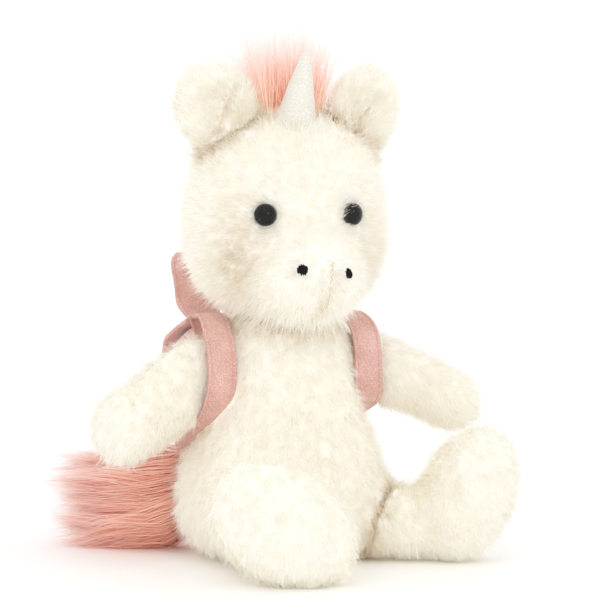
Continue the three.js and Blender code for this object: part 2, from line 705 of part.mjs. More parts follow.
// The flap: one sheet from the back rim over the mouth and down the outer panel.
function flap() {
  const top = PACK_TOP + GAP + FLAP_THICKNESS / 2;
  const proud = GAP + FLAP_THICKNESS / 2;
  const points = [
    [0.5, top + 0.5],
    [RIM_DEPTH * 0.3, top - PACK_RIM_DROP * 0.15],
    [RIM_DEPTH * 0.7, FLAP_TURN + PACK_RIM_DROP * 0.45],
    [RIM_DEPTH, FLAP_TURN + FLAP_THICKNESS],
    [RIM_DEPTH + 2 * proud, FLAP_TURN - 2 * FLAP_THICKNESS],
    [FLAP_HANG - PACK_BACK, FLAP_TURN - FLAP_LENGTH / 2],
    [FLAP_HANG - PACK_BACK, FLAP_TURN - FLAP_LENGTH],
  ].map(([back, height]) => new THREE.Vector3(0, PACK_BACK + back, height));
  const half = FLAP_THICKNESS / 2;
  return solidOf(band(points, PACK_WIDTH + 2 * FLAP_OVERHANG, -half, half, FLAP_STEPS, 0));
}

// The fastener's cap on the flap, a low dome with a rounded edge.
function snap() {
  const profile = SNAP_SECTIONS.map((row) => new THREE.Vector2(SNAP_RADIUS * row.out, SNAP_HEIGHT * row.up));
  profile.unshift(new THREE.Vector2(0, 0));
  const outerFace = FLAP_HANG + FLAP_THICKNESS / 2;
  const middle = FLAP_TURN - FLAP_LENGTH + SNAP_EDGE;
  return solidOf(new THREE.LatheGeometry(profile, 16).translate(0, outerFace + GAP, middle));
}

// The route of a strap, from the pack's back panel up behind the head, over the shoulder, down the
// front, under the arm and back to the panel.
function strapRoute(strap) {
  const panel = PACK_BACK - GAP - STRAP_THICKNESS / 2;
  return STRAP_ROUTE.map((row) => new THREE.Vector3(
    strap.side * row.out * STRAP_SPREAD,
    row.back * panel,
    row.up * STRAP_SHOULDER + strap.raised * row.lift * STRAP_LIFT,
  ));
}

// A strap, one flat band with both ends against the pack's back panel.
function strapForm(strap, grow) {
  const half = STRAP_THICKNESS / 2 + grow;
  return solidOf(band(strapRoute(strap), STRAP_WIDTH + 2 * grow, -half, half, STRAP_STEPS, grow));
}

const packRoom = pouch(-GAP, 0);
const strapRooms = STRAPS.map((strap) => strapForm(strap, GAP));
const legs = LEGS.map((leg) => {
  const solid = cutBy(legForm(leg, 0), [torsoRoom]);
  return { ...leg, solid, room: legForm(leg, GAP) };
});
const legRooms = legs.map((leg) => leg.room);
const earRooms = [-1, 1].map((side) => earForm(side, GAP, false));

const plush = { color: 0xf6f0e0, roughness: 0.95 };
const hair = { color: 0xe9a090, roughness: 0.85 };
const clasp = { color: 0xc9c4bd, roughness: 0.35, metalness: 0.9 };
const leather = { color: 0xdd9f96, roughness: 0.65 };
const glitter = { color: 0xe6e2dc, roughness: 0.5, metalness: 0.2 };
const gloss = { color: 0x120d0a, roughness: 0.08 };
const thread = { color: 0x1c1512, roughness: 0.8 };

const pieces = [
  { name: 'torso', look: plush, solid: cutBy(solidOf(torsoShape), [headRoom, packRoom, ...strapRooms]) },
  { name: 'head', look: plush, solid: headSolid },
  { name: 'ear_left', look: plush, solid: earForm(1, 0, true) },
  { name: 'ear_right', look: plush, solid: earForm(-1, 0, true) },
  { name: 'horn', look: glitter, solid: cutBy(hornForm(0), [headRoom]) },
  { name: 'mane', look: hair, solid: cutBy(mane(), [headRoom, hornForm(GAP), ...earRooms]) },
  { name: 'eye_left', look: gloss, solid: eye(1) },
  { name: 'eye_right', look: gloss, solid: eye(-1) },
  { name: 'nostril_left', look: thread, solid: nostril(1) },
  { name: 'nostril_right', look: thread, solid: nostril(-1) },
  ...ARMS.map((arm) => ({
    name: arm.name,
    look: plush,
    solid: cutBy(armForm(arm, 0), [torsoRoom, headRoom, packRoom, ...strapRooms, ...legRooms]),
  })),
  ...legs.map((leg) => ({ name: leg.name, look: plush, solid: leg.solid })),
  { name: 'tail', look: hair, solid: cutBy(tail(), [torsoRoom, packRoom, ...strapRooms]) },
  { name: 'pack_body', look: leather, solid: pouch(0, 0).subtract(pouch(PACK_WALL, 2 * PACK_WALL)) },
  { name: 'pack_flap', look: leather, solid: cutBy(flap(), strapRooms) },
  { name: 'flap_snap', look: clasp, solid: snap() },
  ...STRAPS.map((strap) => ({ name: strap.name, look: leather, solid: strapForm(strap, 0) })),
];

const unicorn = new THREE.Group();
for (const piece of pieces) {
  const mesh = new THREE.Mesh(geometryOf(piece.solid), new THREE.MeshStandardMaterial(piece.look));
  mesh.name = piece.name;
  unicorn.add(mesh);
}

export default unicorn;
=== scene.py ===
import math

import bmesh
import bpy
import numpy as np
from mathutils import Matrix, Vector
from mathutils.bvhtree import BVHTree


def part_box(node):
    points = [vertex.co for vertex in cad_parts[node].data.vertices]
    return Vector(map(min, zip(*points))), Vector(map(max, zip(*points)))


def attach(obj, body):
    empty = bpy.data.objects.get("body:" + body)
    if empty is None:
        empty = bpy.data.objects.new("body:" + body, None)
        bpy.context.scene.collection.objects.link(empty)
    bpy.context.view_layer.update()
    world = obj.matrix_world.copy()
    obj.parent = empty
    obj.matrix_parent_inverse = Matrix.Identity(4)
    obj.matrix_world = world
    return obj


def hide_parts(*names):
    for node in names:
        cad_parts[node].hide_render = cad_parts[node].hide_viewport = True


# A seated plush unicorn with a small backpack. Lengths are in metres. +Z is up, the animal faces -Y.
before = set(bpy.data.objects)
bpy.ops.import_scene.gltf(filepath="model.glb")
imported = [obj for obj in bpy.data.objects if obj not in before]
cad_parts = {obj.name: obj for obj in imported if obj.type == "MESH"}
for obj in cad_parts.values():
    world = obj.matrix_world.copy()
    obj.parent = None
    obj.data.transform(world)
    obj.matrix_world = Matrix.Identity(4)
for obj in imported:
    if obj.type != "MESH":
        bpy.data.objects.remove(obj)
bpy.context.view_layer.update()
MM = 0.001


# Torso. The real one is a stuffed pear of knitted pile fabric, sewn shut at the seat. Its skin is the
# frame's solid drawn in by the height of the pile, and the pile is laid in clumps that are combed down.

def bare_mesh(name, points, faces):
    """A mesh from an array of points and an array of faces that all have as many corners."""
    mesh = bpy.data.meshes.new(name)
    mesh.vertices.add(len(points))
    mesh.vertices.foreach_set("co", np.asarray(points, np.float32).ravel())
    mesh.loops.add(faces.size)
    mesh.loops.foreach_set("vertex_index", faces.astype(np.int32).ravel())
    mesh.polygons.add(len(faces))
    mesh.polygons.foreach_set("loop_start", np.arange(0, faces.size, faces.shape[1], dtype=np.int32))
    mesh.polygons.foreach_set("use_smooth", np.ones(len(faces), bool))
    mesh.update(calc_edges=True)
    return mesh


def mark(mesh, name, values):
    """Keeps one number for each point of a mesh, for its material to read."""
    mesh.attributes.new(name, "FLOAT", "POINT").data.foreach_set("value", np.asarray(values, np.float32))


def merged(mesh, outward=False):
    """Merges the points of a mesh that lie together, which shuts poles and end rings, and can then turn
    its faces outward."""
    form = bmesh.new()
    form.from_mesh(mesh)
    bmesh.ops.remove_doubles(form, verts=form.verts, dist=1e-6)
    if outward:
        bmesh.ops.recalc_face_normals(form, faces=form.faces)
    form.to_mesh(mesh)
    form.free()
    return mesh


def put_on(name, mesh, material, slot, *nodes):
    """Puts a mesh on the toy with its finish, and hides the frame's nodes that it stands for."""
    made = bpy.data.objects.new(name, mesh)
    bpy.context.scene.collection.objects.link(made)
    mesh.materials.clear()
    mesh.materials.append(material)
    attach(made, "root")
    if nodes:
        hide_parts(*nodes)
    return made


def unit(vectors):
    """Vectors brought to length one."""
    return vectors / np.maximum(np.linalg.norm(vectors, axis=-1, keepdims=True), 1e-12)


def points_of(mesh):
    """The points of a mesh and their normals, as two arrays."""
    points = np.empty(3 * len(mesh.vertices), np.float32)
    mesh.vertices.foreach_get("co", points)
    normals = np.empty(3 * len(mesh.vertices), np.float32)
    mesh.vertex_normals.foreach_get("vector", normals)
    return points.reshape(-1, 3).astype(float), normals.reshape(-1, 3).astype(float)


def scattered(mesh, count, rng):
    """Random places on a mesh with their normals, evenly spread. Triangles are drawn at even steps of
    their summed area, and two random shares place a point in each, folded back where they add up to more
    than one."""
    mesh.calc_loop_triangles()
    corners = np.empty(3 * len(mesh.loop_triangles), np.int32)
    mesh.loop_triangles.foreach_get("vertices", corners)
    corners = corners.reshape(-1, 3)
    points, normals = points_of(mesh)
    first, second, third = (points[corners[:, i]] for i in range(3))
    areas = np.linalg.norm(np.cross(second - first, third - first), axis=1)
    chosen = np.searchsorted(np.cumsum(areas) / areas.sum(), (np.arange(count) + rng.random(count)) / count)
    chosen = rng.permutation(np.minimum(chosen, len(areas) - 1))
    shares = rng.random((count, 2))
    shares = np.where(shares.sum(1, keepdims=True) > 1, 1 - shares, shares)
    weights = np.column_stack([1 - shares.sum(1), shares])
    places = np.einsum("nc,ncx->nx", weights, points[corners[chosen]])
    return places, unit(np.einsum("nc,ncx->nx", weights, normals[corners[chosen]]))


CELL = 1.0 * MM


def cell_of(points):
    """A whole number for the small cube of space that each point lies in."""
    steps = np.floor(np.asarray(points) / CELL).astype(np.int64) + 1000
    return (steps[..., 0] * 4000 + steps[..., 1]) * 4000 + steps[..., 2]


def hard_cells():
    """The cells that the surfaces of the straps and of the pack pass through."""
    rng = np.random.default_rng(5)
    names = ("strap_left", "strap_right", "pack_body", "pack_flap")
    return np.unique(np.concatenate([
        cell_of(scattered(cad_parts[name].data, 60000, rng)[0]) for name in names
    ]))


taken = hard_cells()


SEWN_TO = {
    "torso": ("head", "arm_left", "arm_right", "leg_left", "leg_right"),
    "head": ("torso", "ear_left", "ear_right"),
    "ear_left": ("head",),
    "ear_right": ("head",),
    "arm_left": ("torso",),
    "arm_right": ("torso",),
    "leg_left": ("torso",),
    "leg_right": ("torso",),
}


def faces_of(node):
    """The faces of one of the frame's solids, for finding the nearest place on it."""
    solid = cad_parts[node].data
    return BVHTree.FromPolygons([v.co for v in solid.vertices], [p.vertices for p in solid.polygons])


def nearness(node, points):
    """How near points lie to the plush parts that a part is sewn to: 1 where they touch it, and 0 from
    5 mm on."""
    found = np.full(len(points), 5 * MM)
    for other in SEWN_TO[node]:
        faces = faces_of(other)
        found = np.minimum(found, [faces.find_nearest(Vector(point))[3] for point in points])
    return 1 - np.clip((found - MM) / (4 * MM), 0, 1)


def skin_mesh(node, inset, grain, soft):
    """The sewn skin of a stuffed part: the frame's solid in even faces, smoothed soft times and drawn in
    by inset along its normals, so that the pile on it ends where the solid does. It isn't drawn in where
    it is sewn to its neighbours."""
    draft = bpy.data.objects.new("draft", merged(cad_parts[node].data.copy()))
    bpy.context.scene.collection.objects.link(draft)
    even = draft.modifiers.new("even", "REMESH")
    even.mode = "VOXEL"
    even.voxel_size = grain
    smooth = draft.modifiers.new("smooth", "SMOOTH")
    smooth.iterations = soft
    made = bpy.data.meshes.new_from_object(draft.evaluated_get(bpy.context.evaluated_depsgraph_get()))
    bpy.data.objects.remove(draft)
    points, normals = points_of(made)
    drawn = inset * (1 - nearness(node, points))[:, None]
    points = points - drawn * normals
    points[:, 2] = np.maximum(points[:, 2], 0.3 * MM)
    made.vertices.foreach_set("co", points.astype(np.float32).ravel())
    made.polygons.foreach_set("use_smooth", np.ones(len(made.polygons), bool))
    made.update()
    return made


def drift(points, size, rng):
    """A smooth random vector at each point: a sum of six sine waves about size long, each with its own
    direction, phase and push."""
    waves = rng.normal(size=(6, 3)) * 2 * np.pi / (1.7 * size)
    pushes = rng.normal(size=(6, 3)) / math.sqrt(6)
    return np.sin(points @ waves.T + 2 * np.pi * rng.random(6)) @ pushes


STRAY_SHARE = 0.24


def pile_mesh(name, skin, comb, clumps, hairs, length, rng, radius=1.7 * MM, width=0.22 * MM,
              lift=(34, 62), swirl=0.28, gather=0.25, scale_at=None, warm_at=None):
    """Pile on a skin. Each clump has a root on the skin and one curve that leaves it at the first lift
    angle from the normal and ends at the second, turned in the skin towards the comb's direction. Its
    hairs start in a disc round the root and draw together by gather towards the tip. A hair is a flat
    ribbon of five points. Both functions give a share for each root: how long its hairs are, and how
    much painted shade, in tan, they take. Hairs near the seams to neighbouring parts take painted shade
    too, for the shade between parts. Stray hairs are finer and longer than the rest and stand up more."""
    roots, normals = scattered(skin, clumps, rng)
    along = comb(roots, normals) + swirl * drift(roots, 9 * MM, rng) + 0.1 * rng.normal(size=roots.shape)
    ahead = unit(along - np.sum(along * normals, 1, keepdims=True) * normals)
    # Painted shade: hairs within 5 mm of a neighbouring part are tinted tan, standing in for the shade where
    # parts meet.
    warm = 0.55 * nearness(name.removesuffix("_pile"), roots)
    if warm_at is not None:
        warm = np.maximum(warm, warm_at(roots))
    side = np.cross(ahead, normals)
    tall = length * np.exp(0.13 * rng.normal(size=clumps))
    if scale_at is not None:
        tall = tall * scale_at(roots)
    lifts = np.radians(np.array(lift)[:, None] + np.array([[9], [11]]) * rng.normal(size=(2, clumps)))

    def spread_out(values):
        """Each clump's value, given to all its hairs."""
        return np.repeat(values, hairs, axis=0)

    count = clumps * hairs
    reach = radius * np.sqrt(rng.random(count))
    turn = 2 * np.pi * rng.random(count)
    roots, normals, ahead, side = (spread_out(v) for v in (roots, normals, ahead, side))
    offset = (np.cos(turn) * reach)[:, None] * ahead + (np.sin(turn) * reach)[:, None] * side
    stray = rng.random(count) < STRAY_SHARE
    sizes = spread_out(tall) * rng.uniform(0.72, 1.12, count) * np.where(stray, 1.3, 1.0)
    raised = (spread_out(angle) * np.where(stray, 0.4, 1.0) for angle in lifts)
    first, second = (np.column_stack([np.cos(angle), np.sin(angle)]) for angle in raised)
    jitter = 0.12 * rng.normal(size=(count, 3))
    rise = 0.45 * (first[:, :1] * normals + first[:, 1:] * ahead) + 0.3 * jitter
    fall = 0.55 * (second[:, :1] * normals + second[:, 1:] * ahead) + 0.7 * jitter

    def place(share, sizes):
        """Where each hair is at a share of its length."""
        bend = np.minimum(share / 0.45, 1) * rise + np.clip((share - 0.45) / 0.55, 0, 1) * fall
        return roots + offset * (1 - gather * share) - 0.5 * MM * normals + sizes[:, None] * bend

    steps = np.arange(1, 9) / 8
    met = np.stack([np.isin(cell_of(place(step, sizes)), taken) for step in steps])
    free = np.where(met.any(0), met.argmax(0) / 8, 1.0)
    keep = free > 0.3
    sizes = sizes * np.where(free < 1, np.maximum(free - 0.06, 0.2), 1)
    twist = rng.normal(0, 0.45, count)[:, None]
    across = np.cos(twist) * side + np.sin(twist) * normals
    half = (0.5 * width * rng.uniform(0.75, 1.25, count) * np.where(stray, 0.65, 1.0))[:, None] * across
    low, middle, tip = (place(share, sizes) for share in (0.0, 0.45, 1.0))
    points = np.stack([low - half, low + half, middle - 0.85 * half, middle + 0.85 * half, tip], 1)[keep]
    points[..., 2] = np.maximum(points[..., 2], 0.15 * MM)
    number = len(points)
    faces = np.array([[0, 1, 3], [0, 3, 2], [2, 3, 4]])[None] + 5 * np.arange(number)[:, None, None]
    mesh = bare_mesh(name, points.reshape(-1, 3), faces.reshape(-1, 3))
    mark(mesh, "along", np.tile([0, 0, 0.5, 0.5, 1], number))
    tone = spread_out(rng.random(clumps))[keep] * 0.35 + rng.random(number) * 0.65
    mark(mesh, "tone", np.repeat(tone, 5))
    mark(mesh, "warm", np.repeat(spread_out(warm)[keep], 5))
    return mesh


def paint(red, green, blue):
    """A colour as a screen shows it, 0 to 255 each, turned into the light it stands for."""
    shown = (c / 255 for c in (red, green, blue))
    return tuple(c / 12.92 if c <= 0.04045 else ((c + 0.055) / 1.055) ** 2.4 for c in shown) + (1.0,)


def material_of(name, roughness, **sockets):
    """A material with its shader's constant values set on it. Returns the material, its nodes and links,
    and the shader."""
    made = bpy.data.materials.new(name)
    made.use_nodes = True
    nodes, links = made.node_tree.nodes, made.node_tree.links
    shader = nodes["Principled BSDF"]
    shader.inputs["Roughness"].default_value = roughness
    for socket, value in sockets.items():
        shader.inputs[socket.replace("_", " ")].default_value = value
    return made, nodes, links, shader


def reading(nodes, attribute):
    """The number that a mesh keeps under a name."""
    node = nodes.new("ShaderNodeAttribute")
    node.attribute_name = attribute
    return node.outputs["Fac"]


def ramp(nodes, links, factor, stops):
    """A colour for a number, blended between stops of place and colour."""
    node = nodes.new("ShaderNodeValToRGB")
    elements = node.color_ramp.elements
    while len(elements) < len(stops):
        elements.new(0.5)
    for element, (place, colour) in zip(elements, stops):
        element.position = place
        element.color = colour
    links.new(factor, node.inputs["Fac"])
    return node.outputs["Color"]


def mix(nodes, links, factor, first, second, kind="MIX"):
    """Two colours mixed by a factor. Each is a socket or a colour."""
    node = nodes.new("ShaderNodeMix")
    node.data_type = "RGBA"
    node.blend_type = kind
    sockets = (node.inputs["Factor"], node.inputs[6], node.inputs[7])
    for socket, value in zip(sockets, (factor, first, second)):
        if isinstance(value, bpy.types.NodeSocket):
            links.new(value, socket)
        else:
            socket.default_value = value
    return node.outputs[2]


def effect(name, inputs, outputs):
    """A node group with named sockets, for an effect that several finishes share. Returns the group, its
    nodes and links, and the sockets of both its ends."""
    group = bpy.data.node_groups.new(name, "ShaderNodeTree")
    for way, sockets in (("INPUT", inputs), ("OUTPUT", outputs)):
        for socket, kind in sockets.items():
            group.interface.new_socket(socket, in_out=way, socket_type=f"NodeSocket{kind}")
    nodes = group.nodes
    return group, nodes, group.links, nodes.new("NodeGroupInput").outputs, nodes.new("NodeGroupOutput").inputs


def placed(nodes, links, group, **values):
    """A shared effect placed in a finish with its own values. Each is a socket or a constant."""
    node = nodes.new("ShaderNodeGroup")
    node.node_tree = group
    for name, value in values.items():
        if isinstance(value, bpy.types.NodeSocket):
            links.new(value, node.inputs[name])
        else:
            node.inputs[name].default_value = value
    return node.outputs


def span(nodes, links, value, low, high):
    """The share of the way from low to high that a value has gone, from 0 to 1. Low and high are sockets
    or constants."""
    node = nodes.new("ShaderNodeMapRange")
    links.new(value, node.inputs["Value"])
    for name, limit in (("From Min", low), ("From Max", high)):
        if isinstance(limit, bpy.types.NodeSocket):
            links.new(limit, node.inputs[name])
        else:
            node.inputs[name].default_value = limit
    return node.outputs["Result"]


def uneven_tone():
    """Shared effect: a darker and a lighter colour blended by soft spots on the piece's own coordinates."""
    group, nodes, links, given, out = effect(
        "uneven tone",
        {
            "Scale": "Float", "Detail": "Float", "Low": "Float", "High": "Float",
            "Dark": "Color", "Light": "Color",
        },
        {"Color": "Color", "Share": "Float"},
    )
    place = nodes.new("ShaderNodeTexCoord")
    spots = nodes.new("ShaderNodeTexNoise")
    links.new(place.outputs["Object"], spots.inputs["Vector"])
    links.new(given["Scale"], spots.inputs["Scale"])
    links.new(given["Detail"], spots.inputs["Detail"])
    share = span(nodes, links, spots.outputs["Fac"], given["Low"], given["High"])
    links.new(mix(nodes, links, share, given["Dark"], given["Light"]), out["Color"])
    links.new(share, out["Share"])
    return group


def hair_by_hair():
    """Shared effect: hairs whose own number is under Reach are tinted, the lower the more."""
    group, nodes, links, given, out = effect(
        "hair by hair",
        {"Color": "Color", "Tint": "Color", "Reach": "Float", "Strength": "Float"},
        {"Color": "Color"},
    )
    share = span(nodes, links, reading(nodes, "tone"), 0.0, given["Reach"])
    tint = mix(nodes, links, share, given["Tint"], (1, 1, 1, 1))
    links.new(mix(nodes, links, given["Strength"], given["Color"], tint, "MULTIPLY"), out["Color"])
    return group


UNEVEN_TONE = uneven_tone()
HAIR_BY_HAIR = hair_by_hair()


def bump(nodes, links, height, strength, distance, shader):
    """Small relief on a shader's normal."""
    node = nodes.new("ShaderNodeBump")
    node.inputs["Strength"].default_value = strength
    node.inputs["Distance"].default_value = distance
    links.new(height, node.inputs["Height"])
    links.new(node.outputs["Normal"], shader.inputs["Normal"])


# The root colour is a little darker than the tip: painted shade deep in the pile. The skin's stitch also uses
# it as its darker tone.
CREAM_STITCH_AND_ROOT_SHADE = paint(250, 248, 241)
CREAM = paint(251, 249, 243)
CREAM_TIP = paint(251, 250, 245)
CREAM_WARM = paint(249, 246, 236)
# Painted shade for creases, hollows and the places where parts meet.
PAINTED_SHADE_TAN = paint(222, 204, 172)


def plush_pile():
    """Cream pile: paler towards the tip, with warmer patches and hairs. The slightly darker root is painted
    shade deep in the pile, and the tan where it is creased, in hollows and where parts meet is painted shade.
    """
    made, nodes, links, shader = material_of("plush pile", 0.9, Specular_IOR_Level=0.2, Sheen_Weight=0.3)
    # The darker root is painted shade deep in the pile.
    body = ramp(nodes, links, reading(nodes, "along"), [(0.0, CREAM_STITCH_AND_ROOT_SHADE), (0.42, CREAM), (1.0, CREAM_TIP)])
    patches = placed(
        nodes, links, UNEVEN_TONE,
        Scale=38, Detail=2, Low=0.5, High=0.75, Dark=(0, 0, 0, 1), Light=(0.3, 0.3, 0.3, 1),
    )
    creamy = mix(nodes, links, patches["Color"], body, CREAM_WARM)
    # Painted shade: the tan stands in for the shade in creases, hollows and where parts meet.
    painted_shaded = mix(nodes, links, reading(nodes, "warm"), creamy, PAINTED_SHADE_TAN)
    hairs = placed(nodes, links, HAIR_BY_HAIR, Color=painted_shaded, Tint=CREAM_WARM, Reach=0.35, Strength=0.25)
    links.new(hairs["Color"], shader.inputs["Base Color"])
    return made


def plush_skin():
    """The knitted ground of the pile, with a fine stitch."""
    made, nodes, links, shader = material_of("plush ground", 0.95)
    stitch = placed(
        nodes, links, UNEVEN_TONE, Scale=400, Detail=2, Low=0.3, High=0.7, Dark=CREAM_STITCH_AND_ROOT_SHADE, Light=CREAM,
    )
    links.new(stitch["Color"], shader.inputs["Base Color"])
    bump(nodes, links, stitch["Share"], 0.5, 0.2 * MM, shader)
    return made


pile_finish = plush_pile()
skin_finish = plush_skin()


def stuffed(node, inset, comb, clumps, hairs, length, seed, soft=10, **style):
    """One stuffed part: its padded skin, which stands for the node, and the pile on it."""
    skin = skin_mesh(node, inset, 2.2 * MM, soft)
    pile = pile_mesh(f"{node}_pile", skin, comb, clumps, hairs, length, np.random.default_rng(seed), **style)
    put_on(f"{node}_skin", skin, skin_finish, "plush_cream", node)
    put_on(f"{node}_pile", pile, pile_finish, "plush_cream")


def combed_down(points, normals):
    """Straight down."""
    return np.tile([0.0, 0.0, -1.0], (len(points), 1))


stuffed("torso", 3.0 * MM, combed_down, 5250, 12, 5.2 * MM, 11)


# Head. It is one stuffed ball with a round muzzle, the pile on the face shorter than elsewhere and
# combed away from the nose. A seam runs down the muzzle's front, where the pile parts.

NOSE = np.array([0.0, -46.0, 118.0]) * MM


def combed_from_nose(points, normals):
    """Away from the tip of the nose, and a little down on the sides of the head."""
    return unit(points - NOSE) + np.array([0.0, 0.1, -0.35])


SEAM_UP = (99.0, 117.5)
SEAM_ACROSS = (1.4, 3.2)


def muzzle_seam(points):
    """One on the closing seam, which leans a little as it runs down the muzzle's front, and nought from
    4 mm off it. The seam's two ends are in millimetres."""
    x, y, z = points.T / MM
    return np.exp(-(((x - np.interp(z, SEAM_UP, SEAM_ACROSS)) / 1.9) ** 2)) * (y < -34) * (z < 118)


def face_length(points):
    """Short on the muzzle and the brow, full on the cheeks and the back, almost gone in the seam, and long
    in front of the horn's foot and under the chin."""
    x, y, z = points.T / MM
    full = np.clip((y + 36) / 34, 0, 1)
    foot = np.exp(-((x / 9) ** 2) - ((y + 21) / 7) ** 2)
    chin = np.clip((104 - z) / 8, 0, 1)
    muzzle = (0.72 + 0.23 * full) * (1 - 0.7 * muzzle_seam(points))
    return muzzle * (1 + 0.6 * foot * (z > 150)) * (1 + 0.5 * chin)


def face_painted_shade(points):
    """Painted shade: tan in the hollows where the muzzle meets the cheeks, more so on the right, and in the
    seam down the muzzle's front, standing in for the shade that falls there."""
    x, y, z = points.T / MM
    hollow = np.exp(-(((np.abs(x) - 27) / 9) ** 2) - ((y + 24) / 11) ** 2 - ((z - 116) / 19) ** 2)
    return np.clip(np.where(x < 0, 0.5, 0.25) * hollow + 0.7 * muzzle_seam(points), 0, 1)


stuffed("head", 3.1 * MM, combed_from_nose, 5300, 12, 5.6 * MM, 12, scale_at=face_length, warm_at=face_painted_shade)


# Ears. Each is a cupped round pad of the same pile fabric, lightly stuffed and sewn to the crown with its
# open side forward. A straight fold crosses the cup.

def ear(node, side, slope, seed):
    """An ear's pile is combed away from its seat. It is short in the cup's fold, a straight crease through
    the cup's middle that goes out by slope for each step up, and tinted tan there as painted shade."""
    low, high = (np.array(corner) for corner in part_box(node))
    seat = np.array([side * 20 * MM, (low[1] + high[1]) / 2, low[2]])
    cup = np.array([side * 29 * MM, low[1] + 4 * MM, (low[2] + high[2]) / 2 - 3 * MM])

    def crease(points):
        """One on the fold's line, and nought from 3 mm off it and on the ear's back."""
        x, y, z = ((points - cup) * [side, 1, 1]).T / MM
        off, along = (x - slope * z) / math.hypot(1, slope), (slope * x + z) / math.hypot(1, slope)
        return np.exp(-((off / 1.4) ** 2) - (along / 11) ** 2) * (y < 4)

    def cup_painted_shade(points):
        """Painted shade: a little tan in the cup's hollow, and more in the fold."""
        x, y, z = ((points - cup) * [side, 1, 1]).T / MM
        hollow = np.exp(-((x / 9) ** 2) - ((z + 3) / 11) ** 2) * np.clip((4 - y) / 4, 0, 1)
        return np.clip(0.25 * hollow + 0.75 * crease(points), 0, 1)

    stuffed(node, 2.2 * MM, lambda points, normals: unit(points - seat), 700, 12, 4.6 * MM, seed, soft=24,
            scale_at=lambda points: 1 - 0.75 * crease(points), warm_at=cup_painted_shade)


ear("ear_left", 1, 1.28, 14)
ear("ear_right", -1, -0.4, 12)


# Arms. Each is a stuffed sleeve of the pile fabric with no paw of its own, sewn to the shoulder. Its pile
# is combed towards its end.

def arm(node, side, drop, seed):
    """An arm's pile is combed outward and down, by drop more or less steeply."""
    way = [0.5 * side, -0.1, -drop - 0.4]
    stuffed(node, 2.8 * MM, lambda points, normals: np.tile(way, (len(points), 1)), 1200, 12, 4.8 * MM, seed)


arm("arm_left", 1, 0.35, 17)
arm("arm_right", -1, 0.55, 15)


# Legs. Each is a stuffed shin with an egg-shaped foot, made of the pile fabric and sewn to the torso's
# lower front. Its pile is combed away from the hip.

def leg(node, side, inset, seed):
    """A leg's pile falls, and leans away from the hip."""
    hip = np.array([16.0 * side, -12.0, 25.0]) * MM

    def comb(points, normals):
        """Half away from the hip, and down."""
        return 0.5 * unit(points - hip) + np.array([0, 0, -0.8])

    stuffed(node, inset, comb, 1700, 12, 4.8 * MM, seed)


leg("leg_left", 1, 1.6 * MM, 20)
leg("leg_right", -1, -0.6 * MM, 21)


# Eyes. Each is a glossy plastic dome, black with a brown rim. It stands on a stalk that is locked behind
# the fabric, and its foot is pressed into the pile.

head_faces = faces_of("head")


def landed(faces, across, height):
    """Where a level line from straight ahead lands on a solid."""
    return np.array(faces.ray_cast(Vector((across, -1.0, height)), Vector((0, 1, 0)))[0])


def grid_faces(rows, columns, closed):
    """The four-sided faces of a grid of points. A closed grid joins its last column to its first."""
    last = columns if closed else columns - 1
    row, column = np.meshgrid(np.arange(rows - 1), np.arange(last), indexing="ij")
    a = row * columns + column
    b = row * columns + (column + 1) % columns
    return np.stack([a, b, b + columns, a + columns], -1).reshape(-1, 4)


def turned(name, radii, heights, sides):
    """A closed surface of revolution about +Z through pairs of radius and height, from its lower pole to
    its upper one. It keeps the share of the way from pole to pole at each point."""
    angle = np.linspace(0, 2 * np.pi, sides, endpoint=False)
    ring = np.stack([np.cos(angle), np.sin(angle), np.zeros(sides)], -1)
    points = radii[:, None, None] * ring + heights[:, None, None] * [0, 0, 1.0]
    mesh = bare_mesh(name, points.reshape(-1, 3), grid_faces(len(radii), sides, True))
    mark(mesh, "along", np.repeat(np.linspace(0, 1, len(radii)), sides))
    return merged(mesh)


def aimed(mesh, place, direction):
    """Turns a mesh so that its +Z points in a direction, and moves it to its place."""
    turn = Vector((0, 0, 1)).rotation_difference(Vector(direction)).to_matrix().to_4x4()
    turn.translation = Vector(place)
    mesh.transform(turn)
    return mesh


def eye_plastic():
    """Black gloss with a brown rim."""
    made, nodes, links, shader = material_of("eye plastic", 0.06, Specular_IOR_Level=0.34)
    stops = [
        (0.0, paint(46, 30, 20)), (0.12, paint(34, 22, 15)), (0.3, paint(8, 6, 5)), (1.0, paint(3, 3, 3)),
    ]
    links.new(ramp(nodes, links, reading(nodes, "along"), stops), shader.inputs["Base Color"])
    return made


def eyes():
    """Two domes: a flat foot, a short rounded wall and an elliptical cap. The left one is pressed deeper
    into the pile."""
    radius, dome, sink, spread, height = 4.35 * MM, 3.4 * MM, 2.0 * MM, 19 * MM, 135 * MM
    angle = np.linspace(0, np.pi / 2, 18)
    radii = np.concatenate([[0, radius * 0.93, radius * 0.985], radius * np.cos(angle)])
    heights = np.concatenate([[-sink, -sink, -sink + 0.3 * MM], dome * np.sin(angle)])
    radii[-1] = 0
    finish = eye_plastic()
    for side, node, pressed in ((1, "eye_left", 1.7 * MM), (-1, "eye_right", 1.0 * MM)):
        seat = landed(head_faces, side * spread, height)
        outward = unit(seat * [1, 1, 0] - [0, -5 * MM, 0])
        mesh = aimed(turned(node, radii, heights, 48), seat - pressed * outward, outward)
        put_on(f"{node}_dome", mesh, finish, "eye_black", node)


eyes()


# Nose. Each nostril is an oval of satin stitches in black thread, worked through the pile. The closing
# seam between them, and the fold of each ear, is held by cream thread that shows through the pile.

